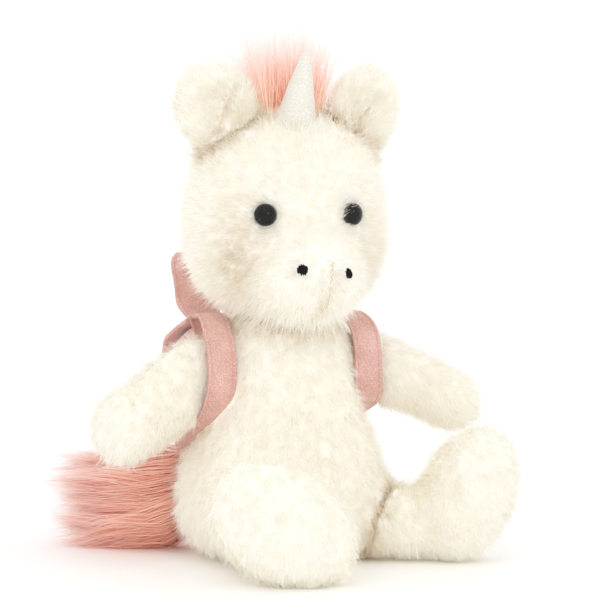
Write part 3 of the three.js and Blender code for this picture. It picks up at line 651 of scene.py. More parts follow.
def tube(paths, radii, sides):
    """Tubes along many paths at once: rings of sides points across each path, of the radii given for its
    points. A radius of nought shuts an end."""
    ahead = unit(np.gradient(paths, axis=1))
    level = np.where(np.abs(ahead[..., :1]) < 0.8, [1.0, 0, 0], [0, 1.0, 0])
    across = unit(np.cross(ahead, level))
    over = np.cross(ahead, across)
    angle = np.linspace(0, 2 * np.pi, sides, endpoint=False)
    ring = np.cos(angle)[:, None] * across[..., None, :] + np.sin(angle)[:, None] * over[..., None, :]
    points = paths[..., None, :] + radii[..., None, None] * ring
    faces = grid_faces(paths.shape[1], sides, True)
    shift = paths.shape[1] * sides * np.arange(len(paths))[:, None, None]
    return points.reshape(-1, 3), (faces[None] + shift).reshape(-1, 4)


def thread_finish(name, dark, light, roughness):
    """Twisted thread: fine darker and lighter turns along it."""
    made, nodes, links, shader = material_of(name, roughness, Specular_IOR_Level=0.25)
    turns = placed(nodes, links, UNEVEN_TONE, Scale=2600, Detail=2, Low=0.3, High=0.7, Dark=dark, Light=light)
    links.new(turns["Color"], shader.inputs["Base Color"])
    return made


def nostrils():
    """Nine stitches side by side, each about as long as the oval is at its place and arched over it. They
    are uneven, as hand work is, and the left oval is sewn a little lower and narrower."""
    rng = np.random.default_rng(29)
    half_width, half_height, relief, spread = 1.7 * MM, 2.2 * MM, 1.5 * MM, 9.2 * MM
    finish = thread_finish("nose thread", paint(11, 9, 8), paint(22, 18, 16), 0.8)
    share = np.linspace(-1, 1, 9)
    place = np.linspace(-0.92, 0.92, 9)
    for side, node, height in ((1, "nostril_left", 112.9 * MM), (-1, "nostril_right", 114.5 * MM)):
        wide = half_width * (0.68 if side > 0 else 1.1)
        seat = landed(head_faces, side * spread, height)
        tall = half_height * np.sqrt(1 - 0.85 * place**2) * rng.uniform(0.85, 1.15, 9)
        x = np.repeat((wide * place)[:, None], 9, 1) + 0.16 * MM * rng.normal(size=(9, 1)) * share
        z = tall[:, None] * share + 0.12 * MM * rng.normal(size=(9, 1))
        y = -relief * np.sqrt(np.maximum(1 - share**2, 0)) * np.sqrt(1 - 0.6 * place[:, None] ** 2)
        turn = math.radians(side * 14)
        across = x * math.cos(turn) - y * math.sin(turn)
        back = x * math.sin(turn) + y * math.cos(turn)
        paths = np.stack([across, back, z], -1)
        radii = 0.4 * MM * np.array([0.0, 0.8, 1, 1, 1, 1, 1, 0.8, 0.0]) * rng.uniform(0.85, 1.1, (9, 1))
        points, faces = tube(paths + seat, radii, 8)
        mesh = merged(bare_mesh(node, points, faces))
        put_on(f"{node}_stitches", mesh, finish, "nose_thread", node)


nostrils()


def drawn_seam(name, faces, start, end, sunk, thick, rng):
    """A seam that shows through the pile: a thread of uneven thickness that wanders a little on its way
    from start to end, given as pairs of across and height, and lies sunk under the part's surface. All
    sizes are in millimetres."""
    count = 34
    share = np.linspace(0, 1, count)[:, None]
    line = MM * (np.array(start) + share * (np.array(end) - np.array(start)))
    line[:, 0] += 0.25 * MM * np.sin(line[:, 1] / (2.6 * MM)) + 0.14 * MM * rng.normal(size=count)
    path = np.array([landed(faces, x, z) for x, z in line]) + [0, sunk * MM, 0]
    radii = thick * MM * rng.uniform(0.4, 1.0, count) * np.concatenate([[0], np.ones(count - 2), [0]])
    points, faces = tube(path[None], radii[None], 6)
    put_on(name, merged(bare_mesh(name, points, faces)), cream_thread, "plush_cream")


cream_thread = thread_finish("cream thread", paint(220, 204, 174), paint(240, 230, 208), 0.8)
seam_rng = np.random.default_rng(37)
for name, node, start, end, sunk, thick in (
    ("nose_seam", "head", (SEAM_ACROSS[1], SEAM_UP[1]), (SEAM_ACROSS[0], SEAM_UP[0]), 0.6, 0.44),
    ("ear_left_fold", "ear_left", (22.5, 167.5), (33.5, 176.5), 0.9, 0.36),
    ("ear_right_fold", "ear_right", (-33.0, 163.5), (-26.5, 180.0), 0.9, 0.36),
):
    drawn_seam(name, faces_of(node), start, end, sunk, thick, seam_rng)


# Horn. It is a stuffed cone of silvery glitter cloth, closed by a seam at the back and sewn to the brow.

def glitter_cloth():
    """Silvery white knit in fine rows, with small flakes painted lighter: a painted glint."""
    made, nodes, links, shader = material_of("glitter cloth", 0.5, Sheen_Weight=0.3)
    place = nodes.new("ShaderNodeTexCoord")
    flakes = nodes.new("ShaderNodeTexVoronoi")
    flakes.inputs["Scale"].default_value = 2600
    links.new(place.outputs["Object"], flakes.inputs["Vector"])
    # Painted glint: the flakes are only a lighter colour, standing in for their shine.
    bright = ramp(nodes, links, flakes.outputs["Color"], [(0.7, (0, 0, 0, 1)), (0.86, (1, 1, 1, 1))])
    rows = nodes.new("ShaderNodeTexWave")
    rows.bands_direction = "Z"
    rows.inputs["Scale"].default_value = 620
    rows.inputs["Distortion"].default_value = 1.2
    rows.inputs["Detail Scale"].default_value = 2.0
    links.new(place.outputs["Object"], rows.inputs["Vector"])
    knit = ramp(nodes, links, rows.outputs["Fac"], [(0.1, paint(220, 216, 204)), (0.6, paint(236, 232, 221))])
    links.new(mix(nodes, links, bright, knit, paint(244, 243, 238)), shader.inputs["Base Color"])
    bump(nodes, links, rows.outputs["Fac"], 0.3, 0.15 * MM, shader)
    return made


def horn():
    """A cone whose sides bow out a little and whose tip is round, with shallow wrinkles near its foot."""
    radius, tip, length, sink, tilt = 7.2 * MM, 1.5 * MM, 25 * MM, 5.0 * MM, math.radians(15)
    share = np.linspace(0, 1, 60)
    rise = -sink + (length + sink) * share
    cone = radius + (tip - radius) * np.clip(rise / length, 0, 1) + 0.35 * MM * np.sin(np.pi * share)
    round_tip = np.clip((length - rise) / (1.6 * MM), 0, 1)
    radii = np.concatenate([[0], cone * np.sqrt(round_tip * (2 - round_tip))])
    heights = np.concatenate([[-sink], rise])
    radii[-1] = 0
    mesh = turned("horn", radii, heights, 64)
    points, _ = points_of(mesh)
    angle = np.arctan2(points[:, 1], points[:, 0])
    fading = np.exp(-np.maximum(points[:, 2], 0) / (9 * MM))
    wrinkle = 0.16 * MM * np.sin(3 * angle + points[:, 2] / (2.2 * MM)) * fading
    points[:, :2] *= 1 + (wrinkle / np.maximum(np.hypot(points[:, 0], points[:, 1]), 1e-4))[:, None]
    mesh.vertices.foreach_set("co", points.astype(np.float32).ravel())
    seat_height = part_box("horn")[1].z - 26.5 * MM
    aimed(mesh, (0, -15 * MM, seat_height), (0.07, -math.sin(tilt), math.cos(tilt)))
    put_on("horn_cone", mesh, glitter_cloth(), "horn_cloth", "horn")


horn()


# Mane. It is a strip of long soft hair sewn in between the ears and down to the nape, coral at its
# root and nearly white at its tips, and it stands up in a loose crest.

def strand_mesh(name, paths, facing, width, tone, reach, taper=0.75):
    """Hairs as ribbons along many paths at once. Each is widest near its root, thins as its share to the
    power of taper and ends in a point, and its flat side looks the way that facing says. Reach is each
    hair's length as a share of the longest, and its dye goes by the distance from its root."""
    number, steps = paths.shape[:2]
    share = np.linspace(0, 1, steps)
    dyed = np.outer(reach, np.append(np.repeat(share[:-1], 2), 1))
    across = unit(np.cross(np.gradient(paths, axis=1), facing[:, None]))
    half = 0.5 * width[:, None, None] * (1 - share[:, None] ** (1 / taper) * 0.8) * across
    pairs = np.stack([paths - half, paths + half], 2)[:, :-1].reshape(number, -1, 3)
    points = np.concatenate([pairs, paths[:, -1:]], 1)
    low = 2 * np.arange(steps - 2)[:, None]
    body = np.concatenate([low + [0, 1, 3], low + [0, 3, 2]])
    end = 2 * (steps - 2)
    one = np.concatenate([body, [[end, end + 1, end + 2]]])
    faces = (one[None] + points.shape[1] * np.arange(number)[:, None, None]).reshape(-1, 3)
    mesh = bare_mesh(name, points.reshape(-1, 3), faces)
    mark(mesh, "along", dyed.ravel())
    mark(mesh, "tone", np.repeat(tone, points.shape[1]))
    return mesh


def long_hair(name, stops, tint):
    """Soft hair: coral at the root and paler to the tip, each hair a little lighter or darker."""
    made, nodes, links, shader = material_of(name, 0.5, Specular_IOR_Level=0.35, Sheen_Weight=0.2)
    body = ramp(nodes, links, reading(nodes, "along"), stops)
    hairs = placed(nodes, links, HAIR_BY_HAIR, Color=body, Tint=tint, Reach=0.7, Strength=0.8)
    links.new(hairs["Color"], shader.inputs["Base Color"])
    return made


def crest(places):
    """Where lines from the middle of the head, at angles behind upright, leave the head's solid."""
    centre = np.array([0, -5, 134.25]) * MM
    tried = np.radians(np.linspace(-20, 95, 24))
    outward = np.stack([0 * tried, np.sin(tried), np.cos(tried)], -1)
    reach = []
    for way in outward:
        landing = head_faces.ray_cast(Vector(centre + 0.3 * way), Vector(-way))[0]
        reach.append(np.linalg.norm(np.array(landing) - centre))
    found = np.interp(places, tried, reach)
    return centre + found[:, None] * np.stack([0 * places, np.sin(places), np.cos(places)], -1)


def mane():
    """Locks spread along the crest. A lock leaves its seat at its lean behind upright and fans out from
    the middle, and its hairs part from it and wave a little on their way."""
    rng = np.random.default_rng(31)
    locks, hairs, steps, length = 112, 56, 6, 45 * MM
    count = locks * hairs
    place = np.radians(-9 + 88 * rng.random(locks))
    across = rng.uniform(-1, 1, locks)
    lean = np.interp(np.degrees(place), [-9, 10, 30, 52, 79], [0, 14, 40, 88, 136]) + rng.normal(0, 7, locks)
    fan = 12 * across + rng.normal(0, 7, locks)
    shorter = np.interp(np.degrees(place), [-9, 20, 79], [1.0, 1.0, 0.85]) * (1 - 0.1 * across**2)
    spread = np.interp(np.degrees(place), [-9, 20, 79], [11.5, 10.0, 8.0]) * MM
    seat = crest(place) + np.stack([spread * across, 0 * across, -0.013 * spread**2 * across**2 / MM], -1)
    lean, fan = np.radians(lean), np.radians(fan)
    way = unit(np.stack([np.tan(fan), np.sin(lean), np.cos(lean)], -1))
    seat, way, shorter = (np.repeat(v, hairs, axis=0) for v in (seat, way, shorter))
    reach = shorter * (0.36 + 0.68 * rng.beta(1.5, 1.9, count))
    size = length * reach
    part = rng.normal(size=(count, 3))
    part -= np.sum(part * way, 1, keepdims=True) * way
    share = np.linspace(0, 1, steps)[:, None]
    wave = np.repeat(rng.normal(size=(locks, 3)), hairs, 0) * 0.7 + rng.normal(size=(count, 3)) * 0.5
    phase = 2 * np.pi * rng.random(count)[:, None, None]
    paths = (
        seat[:, None] + 1.5 * MM * part[:, None] - 2.0 * MM * way[:, None]
        + share * (size[:, None] * (way + 0.085 * part))[:, None]
        + 0.9 * MM * share * np.sin(5 * share + phase) * wave[:, None]
    )
    paths[..., 2] -= 2.2 * MM * share[:, 0] ** 2 * np.abs(part[:, :1])
    low, high = (np.array(corner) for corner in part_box("mane"))
    paths = np.clip(paths, low - 2 * MM, high + 1 * MM)
    facing = unit(part + 0.6 * np.repeat(unit(np.array([0, -1.0, 0.3]))[None], count, 0))
    width = rng.uniform(0.14, 0.26, count) * MM
    mesh = strand_mesh("mane_hair", paths, facing, width, rng.random(count), reach)
    stops = [
        (0.0, paint(255, 230, 206)), (0.2, paint(254, 230, 213)), (0.34, paint(254, 231, 220)),
        (0.48, paint(254, 237, 231)), (0.7, paint(254, 245, 242)), (1.0, paint(253, 243, 240)),
    ]
    put_on("mane_hair", mesh, long_hair("mane hair", stops, paint(253, 234, 224)), "hair_pink", "mane")


mane()


# Tail. It is a brush of the same long hair on a short stump behind the seat, swept to the animal's
# right, where it lies on the floor.

def tail():
    """Locks that leave a small stump high behind the seat, fan out, fall and then run level. A lock's
    hairs wave together and draw closer towards its tip, and none goes below the floor."""
    rng = np.random.default_rng(41)
    locks, hairs, steps, length = 125, 68, 9, 75 * MM
    half_width, half_height = 17.0 * MM, 20.0 * MM
    count = locks * hairs
    root = np.array([-14, 30, 30]) * MM
    sweep = math.radians(59)
    ahead = np.array([-math.sin(sweep), math.cos(sweep), 0])
    across = np.array([-ahead[1], ahead[0], 0])
    angle = 2 * np.pi * rng.random(locks)
    out = 0.95 * rng.random(locks) ** 0.4
    spot = np.stack([np.cos(angle) * out, np.sin(angle) * out], -1)
    spot = np.repeat(spot, hairs, 0)
    loose = rng.normal(0, 0.11, (count, 2))
    share = np.linspace(0, 1, steps)
    swell = np.interp(share, [0, 0.12, 0.26, 0.42, 0.6, 1], [0.22, 0.42, 0.8, 0.97, 1.0, 0.92])
    fall = 12.5 * MM * np.interp(share, [0, 0.15, 0.3, 0.45, 0.7, 1], [0, 0.25, 0.7, 0.9, 1.0, 1.05])
    gathered = np.interp(share, [0, 0.3, 0.7, 1], [1.0, 1.1, 0.8, 0.4])
    crossed = np.repeat(rng.normal(0, 0.22, (locks, 2)), hairs, 0)
    place = spot[:, None] * swell[:, None] + loose[:, None] * gathered[:, None]
    place = place + crossed[:, None] * np.linspace(-0.3, 1, steps)[:, None]
    whole = np.repeat(rng.uniform(0.68, 1.0, locks), hairs)
    reach = whole * (0.74 + 0.32 * rng.beta(2, 2, count))
    size = length * reach
    beat = np.repeat(rng.uniform(0.5, 1.2, locks), hairs)[:, None]
    phase = np.repeat(2 * np.pi * rng.random(locks), hairs)[:, None] + rng.normal(0, 0.25, (count, 1))
    wave = 2.6 * MM * np.sin(2 * np.pi * beat * share + phase) * np.minimum(2.5 * share, 1)
    paths = root + (share * size[:, None])[..., None] * ahead
    paths = paths + (half_width * place[..., :1] + (0.7 * wave)[..., None]) * across
    paths[..., 2] += half_height * place[..., 1] + wave - fall
    resting = 0.3 * MM + 0.9 * MM * rng.random((count, 1))
    paths[..., 2] = np.where(paths[..., 2] < 1.2 * MM, resting, paths[..., 2])
    away = spot + 5 * loose
    facing = unit(away[:, :1] * across + away[:, 1:] * [0, 0, 1.0] + 0.25 * rng.normal(size=(count, 3)))
    tone = 0.5 * np.repeat(rng.random(locks), hairs) + 0.5 * rng.random(count)
    mesh = strand_mesh("tail_hair", paths, facing, rng.uniform(0.22, 0.42, count) * MM, tone, reach)
    stops = [
        (0.0, paint(226, 160, 138)), (0.3, paint(253, 210, 190)), (0.55, paint(254, 220, 206)),
        (0.72, paint(253, 231, 224)), (0.92, paint(254, 245, 242)),
    ]
    put_on("tail_hair", mesh, long_hair("tail hair", stops, paint(238, 190, 172)), "hair_pink", "tail")


tail()


# Backpack's pouch. It is a soft box of pink imitation leather, cut from a back panel and one wall that
# runs round it, with a stitched hem at its mouth and piping round its bottom.

PACK_BACK, PACK_BASE = 35 * MM, 38 * MM
PACK_WIDTH, PACK_HEIGHT, PACK_DEPTH, PACK_WALL = 52 * MM, 52 * MM, 30 * MM, 1.6 * MM
RIM_DROP = 12 * MM
POUCH_SECTIONS = np.array([
    # up, width, depth, tilt
    [0.0, 0.86, 0.7, 0.0],
    [0.05, 0.96, 0.86, 0.0],
    [0.2, 1.0, 0.97, 0.05],
    [0.45, 1.0, 1.0, 0.3],
    [0.75, 0.98, 0.96, 0.7],
    [1.0, 0.96, 0.91, 1.0],
])


def leather(name, colour, dark):
    """Imitation leather: a fine pebbled grain, softly uneven colour and a satin shine."""
    made, nodes, links, shader = material_of(name, 0.46, Specular_IOR_Level=0.4, Sheen_Weight=0.12)
    cells = nodes.new("ShaderNodeTexVoronoi")
    cells.feature = "DISTANCE_TO_EDGE"
    cells.inputs["Scale"].default_value = 1150
    place = nodes.new("ShaderNodeTexCoord")
    links.new(place.outputs["Object"], cells.inputs["Vector"])
    pebbles = ramp(nodes, links, cells.outputs["Distance"], [(0.02, (0, 0, 0, 1)), (0.3, (1, 1, 1, 1))])
    uneven = placed(nodes, links, UNEVEN_TONE, Scale=90, Detail=3, Low=0.3, High=0.7, Dark=dark, Light=colour)
    grained = mix(nodes, links, pebbles, dark, colour)
    links.new(mix(nodes, links, 0.6, uneven["Color"], grained), shader.inputs["Base Color"])
    rough = ramp(nodes, links, pebbles, [(0.0, (0.62, 0.62, 0.62, 1)), (1.0, (0.42, 0.42, 0.42, 1))])
    links.new(rough, shader.inputs["Roughness"])
    bump(nodes, links, pebbles, 0.8, 0.14 * MM, shader)
    return made


pack_leather = leather("pink leather", paint(248, 210, 200), paint(208, 156, 146))
stitch_thread = thread_finish("light thread", paint(214, 170, 160), paint(244, 206, 196), 0.6)


def stitches(route, outward, spacing, size):
    """A row of stitches on a line of points: short tubes spaced evenly along it, half sunk in the cloth
    and shut at both ends."""
    steps = np.linalg.norm(np.diff(route, axis=0), axis=1)
    along = np.concatenate([[0], np.cumsum(steps)])
    count = int(along[-1] / spacing)
    middle = (np.arange(count) + 0.5) * spacing
    ends = np.array([-0.5, -0.36, 0, 0.36, 0.5]) * 0.74 * spacing
    at = middle[:, None] + ends
    paths = np.stack([np.interp(at, along, route[:, i]) for i in range(3)], -1)
    lift = np.stack([np.interp(at, along, outward[:, i]) for i in range(3)], -1)
    paths = paths + lift * size * np.array([-0.7, 0.0, 0.35, 0.0, -0.7])[:, None]
    radii = size * np.array([0.0, 0.85, 1.0, 0.85, 0.0]) * np.ones((count, 1))
    points, faces = tube(paths, radii, 5)
    return points, faces


def joined(name, parts):
    """One mesh from several arrays of points and faces."""
    shifts = np.cumsum([0] + [len(points) for points, _ in parts[:-1]])
    points = np.concatenate([points for points, _ in parts])
    faces = np.concatenate([faces + shift for (_, faces), shift in zip(parts, shifts)])
    return merged(bare_mesh(name, points, faces))


def squared(value, squareness):
    """A cosine or sine pushed towards the corners of a rounded square."""
    return np.sign(value) * np.abs(value) ** (2 / squareness)


def pouch_ring(up, inset, lift=0.0):
    """A ring of the pouch at a share of its height: a rounded rectangle that is flush with the back
    panel, lower at the front as the mouth's tilt says, and drawn in by inset."""
    read = [np.interp(up, POUCH_SECTIONS[:, 0], POUCH_SECTIONS[:, i]) for i in (1, 2, 3)]
    width, depth, tilt = read
    turn = 2 * np.pi * np.arange(96) / 96
    x, y = squared(np.cos(turn), 5), squared(np.sin(turn), 5)
    half_depth = PACK_DEPTH * depth / 2
    deep = half_depth + y * (half_depth - inset)
    drop = RIM_DROP * tilt * deep / PACK_DEPTH
    height = PACK_BASE + inset + up * (PACK_HEIGHT - inset) - drop + lift
    return np.stack([x * (PACK_WIDTH * width / 2 - inset), PACK_BACK + deep, height], -1)


def smooth_sections():
    """The pouch's sections read on a smooth curve, so that its walls have no creases."""
    table = POUCH_SECTIONS
    fine = np.linspace(0, 1, 41)
    slopes = np.gradient(table[:, 1:], table[:, 0], axis=0)
    at = np.clip(np.searchsorted(table[:, 0], fine, "right") - 1, 0, len(table) - 2)
    step = (table[at + 1, 0] - table[at, 0])[:, None]
    share = (fine - table[at, 0])[:, None] / step
    start, end = table[at, 1:], table[at + 1, 1:]
    curve = (
        (2 * share**3 - 3 * share**2 + 1) * start + (share**3 - 2 * share**2 + share) * step * slopes[at]
        + (3 * share**2 - 2 * share**3) * end + (share**3 - share**2) * step * slopes[at + 1]
    )
    return np.column_stack([fine, curve])


POUCH_SECTIONS = smooth_sections()


def pouch():
    """The outer wall from the bottom's middle up to the rim, over the rounded rim and down the inner
    wall to the inside of the bottom, as one closed surface. The front and sides sag softly."""
    ups = np.linspace(0, 1, 40)
    outer = [pouch_ring(up, 0.0) for up in ups]
    rim = [
        pouch_ring(1.0, PACK_WALL * (0.5 - 0.5 * math.cos(turn)), 0.5 * PACK_WALL * (math.sin(turn) - 1))
        for turn in np.linspace(0.3, math.pi - 0.3, 5)
    ]
    inner = [pouch_ring(up, PACK_WALL) for up in ups[::-1]]
    foot, sole = outer[0], inner[-1]
    shut = [foot.mean(0) + (foot - foot.mean(0)) * s for s in (0.0, 0.35, 0.7)]
    floor = [sole.mean(0) + (sole - sole.mean(0)) * s for s in (0.7, 0.35, 0.0)]
    rings = np.array(shut + outer[:-1] + rim + inner[1:] + floor)
    sag = 0.9 * MM * np.clip((rings[..., 1] - PACK_BACK) / PACK_DEPTH, 0, 1)
    wave = np.sin(rings[..., 0] / (7 * MM) + 1.0) * np.sin(rings[..., 2] / (9 * MM))
    rings[..., 1] -= sag * (0.5 + 0.5 * wave)
    mesh = merged(bare_mesh("pouch", rings.reshape(-1, 3), grid_faces(len(rings), 96, True)), outward=True)
    put_on("pack_pouch", mesh, pack_leather, "pack_pink", "pack_body")
    rows = []
    for up in (0.12, 0.955):
        ring = pouch_ring(up, -0.05 * MM)
        ring = np.concatenate([ring, ring[:1]])
        away = unit((ring - ring[:-1].mean(0)) * [1, 1, 0])
        ring[:, 1] -= 0.45 * MM * np.clip((ring[:, 1] - PACK_BACK) / PACK_DEPTH, 0, 1)
        rows.append(stitches(ring, away, 1.8 * MM, 0.22 * MM))
    put_on("pack_stitches", joined("pack_stitches", rows), stitch_thread, "pack_pink")


pouch()


# Flap. It is one panel of two plies of the same leather, sewn on behind the mouth, folded over it and
# stitched round its edge. Its press fastener has a pale metal cap.

def smooth_route(points, steps):
    """A centripetal Catmull-Rom curve through points, at places evenly spaced along its length. Each
    stretch is a cubic whose end slopes come from the distances to the power of a half between points."""
    ends = np.vstack([2 * points[0] - points[1], points, 2 * points[-1] - points[-2]])
    a, b, c, d = ends[:-3], ends[1:-2], ends[2:-1], ends[3:]
    first, second, third = (np.linalg.norm(v, axis=1)[:, None] ** 0.5 for v in (b - a, c - b, d - c))
    leave = ((b - a) / first - (c - a) / (first + second) + (c - b) / second) * second
    meet = ((c - b) / second - (d - b) / (second + third) + (d - c) / third) * second
    t = np.linspace(0, 1, 40, endpoint=False)[None, :, None]
    b, c, leave, meet = (v[:, None] for v in (b, c, leave, meet))
    curve = b + leave * t + (3 * (c - b) - 2 * leave - meet) * t**2 + (2 * (b - c) + leave + meet) * t**3
    curve = np.vstack([curve.reshape(-1, 3), points[-1:]])
    along = np.concatenate([[0], np.cumsum(np.linalg.norm(np.diff(curve, axis=0), axis=1))])
    even = np.linspace(0, along[-1], steps)
    return np.stack([np.interp(even, along, curve[:, i]) for i in range(3)], -1)


def ply_profile(width, thickness, puff):
    """The section of a stitched band: two plies with a slit between them at each edge, rounded edges, a
    row pressed in by the stitches near each edge, and a middle that stands out by puff. Pairs of across
    and over, once round."""
    half, deep = width / 2, thickness / 2
    across = np.linspace(-half + 0.5 * MM, half - 0.5 * MM, 25)
    from_edge = half - np.abs(across)
    pressed = 0.3 * MM * np.exp(-(((from_edge - 1.5 * MM) / (0.32 * MM)) ** 2))
    face = deep + puff * np.clip((from_edge - 1.6 * MM) / MM, 0, 1) - pressed
    edge_over = deep * np.array([0.8, 0.5, 0.12, -0.12, -0.5, -0.8])
    edge_across = half - MM * np.array([0.12, 0.0, 0.3, 0.3, 0.0, 0.12])
    top = np.stack([across, face], -1)
    right = np.stack([edge_across, edge_over], -1)
    return np.concatenate([top, right, top[::-1] * [1, -1], right[::-1] * [-1, 1]])


def carried(route, across, outward, profile, narrow=1.0):
    """A profile carried along a route, with its ends shut by rings that close onto their middle. Narrow
    is the share of the profile's width that is left at each place."""
    wide = np.broadcast_to(narrow, len(route))[:, None] * profile[:, 0]
    rings = route[:, None] + wide[..., None] * across[:, None] + profile[:, 1, None] * outward[:, None]
    first, last = (
        [end.mean(0) + (end - end.mean(0)) * share for share in (0.0, 0.97)] for end in (rings[0], rings[-1])
    )
    rings = np.concatenate([first, rings, last[::-1]])
    return rings.reshape(-1, 3), grid_faces(len(rings), len(profile), True)


def flap():
    """The flap's line in side view, from the back rim over the mouth and down the outer panel, carried
    across the pack. Its free end curls a little away from the pouch at its corners."""
    thickness, gap = 1.6 * MM, 0.3 * MM
    proud = gap + thickness / 2
    rim = PACK_DEPTH * 0.91
    top = PACK_BASE + PACK_HEIGHT + proud
    turn = top - RIM_DROP * 0.91
    hang = PACK_DEPTH + proud + gap
    line = np.array([
        [0, 0.5 * MM, top + 0.5 * MM],
        [0, rim * 0.3, top - RIM_DROP * 0.15],
        [0, rim * 0.7, turn + RIM_DROP * 0.45],
        [0, rim, turn + thickness],
        [0, rim + 2 * proud, turn - 2 * thickness],
        [0, hang, turn - 12 * MM],
        [0, hang, turn - 24 * MM],
    ]) + [0, PACK_BACK, 0]
    route = smooth_route(line, 60)
    ahead = unit(np.gradient(route, axis=0))
    across = np.tile([1.0, 0, 0], (len(route), 1))
    outward = np.cross(across, ahead)
    outward *= np.sign(outward[:, 1:2] + outward[:, 2:3])
    points, faces = carried(route, across, outward, ply_profile(55 * MM, thickness, 0.15 * MM))

    def curled(points):
        """Points of the flap moved off the pouch: most at the lower corners, and by a slow wave."""
        corner = np.clip((np.abs(points[:, 0]) / MM - 16) / 11.5, 0, 1) ** 2
        low = np.clip((turn - 8 * MM - points[:, 2]) / (16 * MM), 0, 1)
        away = 1.0 * MM * corner * low + 0.35 * MM * np.sin(points[:, 0] / (6 * MM)) * low
        return points + away[:, None] * [0, 1.0, 0]

    mesh = merged(bare_mesh("flap", curled(points), faces), outward=True)
    put_on("pack_flap_panel", mesh, pack_leather, "pack_pink", "pack_flap")
    rows = []
    for side in (-1, 1):
        line = curled(route + outward * 0.78 * MM + side * across * 26.0 * MM)
        rows.append(stitches(line[1:-2], outward[1:-2], 1.8 * MM, 0.22 * MM))
    bottom = np.tile(route[-1] + outward[-1] * 0.78 * MM + [0, 0, 1.6 * MM], (60, 1))
    bottom[:, 0] = np.linspace(-25.5, 25.5, 60) * MM
    rows.append(stitches(curled(bottom), np.tile(outward[-1], (60, 1)), 1.8 * MM, 0.22 * MM))
    put_on("flap_stitches", joined("flap_stitches", rows), stitch_thread, "pack_pink")


flap()


def snap():
    """The fastener's cap: a low dome with a rolled rim and a small dimple in its middle."""
    low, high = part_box("flap_snap")
    radius, height = 4 * MM, 1.4 * MM
    share = np.array([0, 0.9, 1.0, 1.0, 0.96, 0.9, 0.84, 0.8, 0.7, 0.55, 0.4, 0.3, 0.22, 0.12, 0])
    rise = np.array([0, 0, 0.12, 0.35, 0.6, 0.74, 0.7, 0.66, 0.8, 0.92, 0.98, 0.99, 0.93, 0.86, 0.85])
    mesh = turned("snap", radius * share, height * rise, 48)
    aimed(mesh, (0, low.y - 0.2 * MM, (low.z + high.z) / 2), (0, 1, 0))
    made, nodes, links, shader = material_of("snap metal", 0.3, Metallic=1.0)
    dull, bright = paint(198, 192, 184), paint(222, 218, 212)
    worn = placed(nodes, links, UNEVEN_TONE, Scale=700, Detail=4, Low=0.3, High=0.7, Dark=dull, Light=bright)
    links.new(worn["Color"], shader.inputs["Base Color"])
    gloss = ramp(nodes, links, worn["Share"], [(0.0, (0.4, 0.4, 0.4, 1)), (1.0, (0.24, 0.24, 0.24, 1))])
    links.new(gloss, shader.inputs["Roughness"])
    put_on("flap_snap_cap", mesh, made, "snap_metal", "flap_snap")


snap()


# Straps. Each is one flat band of two plies of leather, stitched along both edges. It leaves the back
# panel, bows up behind the head, folds over to the shoulder and goes down and round under the arm.

STRAP_ROUTE = np.array([
    # out, back, up, lift
    [0.62, 1.0, 0.87, 0],
    [0.64, 1.0, 0.945, 0],
    [0.7, 1.13, 1.07, 0],
    [0.79, 1.3, 1.17, 0],
    [0.84, 1.36, 1.22, 0],
    [0.86, 1.31, 1.245, 0],
    [0.86, 1.245, 1.215, 0],
    [0.84, 1.1, 1.12, 0],
    [0.8, 0.91, 1.03, 0],
    [0.8, 0.7, 0.99, 0],
    [0.87, 0.38, 1.0, 0],
    [0.95, 0.0, 1.0, 0],
    [1.0, -0.27, 0.95, 0],
    [1.0, -0.42, 0.86, 0.1],
    [1.0, -0.44, 0.75, 0.3],
    [1.04, -0.36, 0.645, 0.65],
    [1.1, -0.14, 0.56, 1.0],
    [1.13, 0.14, 0.515, 1.1],
    [1.08, 0.47, 0.475, 1.0],
    [0.98, 0.73, 0.455, 0.8],
    [0.88, 0.9, 0.465, 0.6],
    [0.82, 0.975, 0.51, 0.3],
    [0.8, 1.0, 0.58, 0],
])


def straps():
    """The route in shares of the strap's spread, of the back panel's place and of the shoulder's height,
    carried with the band's section, whose width lies as near to X as the route lets it. The fold behind
    the head has rounded corners, and the band is a little fuller where it meets the neck."""
    width, thickness, spread, shoulder, lift = 11.5 * MM, 1.6 * MM, 30.5 * MM, 95 * MM, 7.5 * MM
    panel = PACK_BACK - 0.3 * MM - thickness / 2
    profile = ply_profile(width, thickness - 0.2 * MM, 0.12 * MM)
    for side, raised, node in ((1, 1, "strap_left"), (-1, 0, "strap_right")):
        out, back, up, lifted = STRAP_ROUTE.T
        places = np.stack([side * out * spread, back * panel, up * shoulder + raised * lifted * lift], -1)
        route = smooth_route(places, 190)
        ahead = unit(np.gradient(route, axis=0))
        across = unit(np.array([1.0, 0, 0]) - ahead[:, :1] * ahead)
        outward = np.cross(across, ahead)
        from_top = np.clip((route[:, 2] - route[:, 2].max() + 7 * MM) / (7.5 * MM), 0, 1)
        fuller = 0.4 * np.exp(-(((route[:, 2] - 98.5 * MM) / (6 * MM)) ** 2)) * (route[:, 1] > 10 * MM)
        narrow = np.sqrt(1 - from_top**2) + fuller
        points, faces = carried(route, across, outward, profile, narrow)
        mesh = merged(bare_mesh(node, points, faces), outward=True)
        put_on(f"{node}_band", mesh, pack_leather, "pack_pink", node)
        inward = ((width / 2 - 1.5 * MM) * narrow)[:, None] * across
        rows = [
            stitches(route + edge * inward + face * 0.56 * MM * outward, face * outward, 1.7 * MM, 0.24 * MM)
            for edge in (-1, 1) for face in (-1, 1)
        ]
        put_on(f"{node}_stitches", joined(f"{node}_stitches", rows), stitch_thread, "pack_pink")


straps()


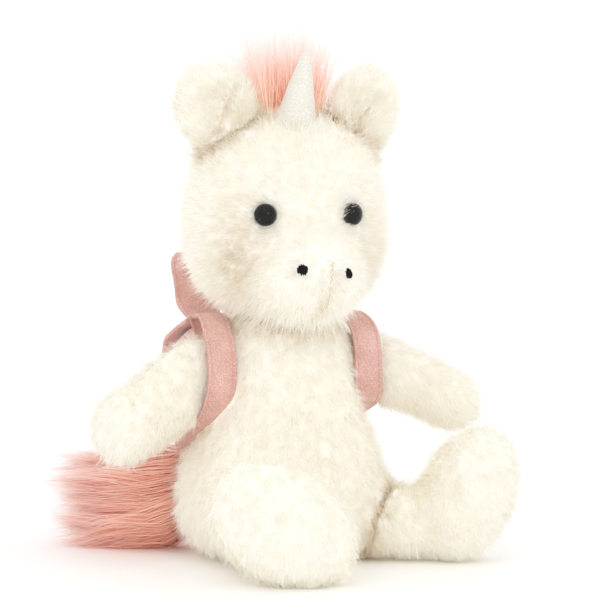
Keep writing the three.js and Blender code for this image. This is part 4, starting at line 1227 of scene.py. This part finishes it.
# Floor, light and camera. The toy sits on a white floor in the soft light of a white room, and the
# camera stands where the photograph was taken from.

def studio():
    """The floor, the light and the camera."""
    size = 6.0
    points = np.array([[-size, -size, 0], [size, -size, 0], [size, size, 0], [-size, size, 0]])
    floor = bpy.data.objects.new("floor", bare_mesh("floor", points, np.array([[0, 1, 2, 3]])))
    bpy.context.scene.collection.objects.link(floor)
    floor.data.materials.append(material_of("floor", 0.6, Base_Color=(0.985, 0.985, 0.985, 1))[0])
    world = bpy.data.worlds.new("room")
    world.use_nodes = True
    world.node_tree.nodes["Background"].inputs["Color"].default_value = (1.0, 1.0, 1.0, 1)
    world.node_tree.nodes["Background"].inputs["Strength"].default_value = 1.06
    bpy.context.scene.world = world
    for name, place, power, width in (
        ("key", (-0.7, -0.82, 0.95), 0.6, 0.12),
        ("front light", (-0.19, -1.06, 0.4), 0.7, 0.08),
        ("top light", (-0.1, -0.45, 1.4), 0.5, 0.6),
    ):
        lamp = bpy.data.lights.new(name, "AREA")
        lamp.energy = power
        lamp.size = width
        light = bpy.data.objects.new(name, lamp)
        light.location = place
        light.rotation_euler = (Vector((0, 0, 0.1)) - light.location).to_track_quat("-Z", "Y").to_euler()
        bpy.context.scene.collection.objects.link(light)
    azimuth, elevation, distance = math.radians(-22), math.radians(3), 1.0
    right = Vector((math.cos(azimuth), math.sin(azimuth), 0))
    level = math.cos(elevation)
    back = Vector((math.sin(azimuth) * level, -math.cos(azimuth) * level, math.sin(elevation)))
    target = Vector((0, 0, 0.101)) + right * 18 * 0.2353 / 600
    lens = bpy.data.cameras.new("camera")
    lens.sensor_width = 36
    lens.lens = 36 * distance / 0.2353
    camera = bpy.data.objects.new("camera", lens)
    camera.location = target + back * distance
    camera.rotation_euler = (-back).to_track_quat("-Z", "Y").to_euler()
    bpy.context.scene.collection.objects.link(camera)
    bpy.context.scene.camera = camera
    bpy.context.scene.view_settings.view_transform = "Standard"
    bpy.context.scene.cycles.max_bounces = 24
    bpy.context.scene.cycles.diffuse_bounces = 24


studio()
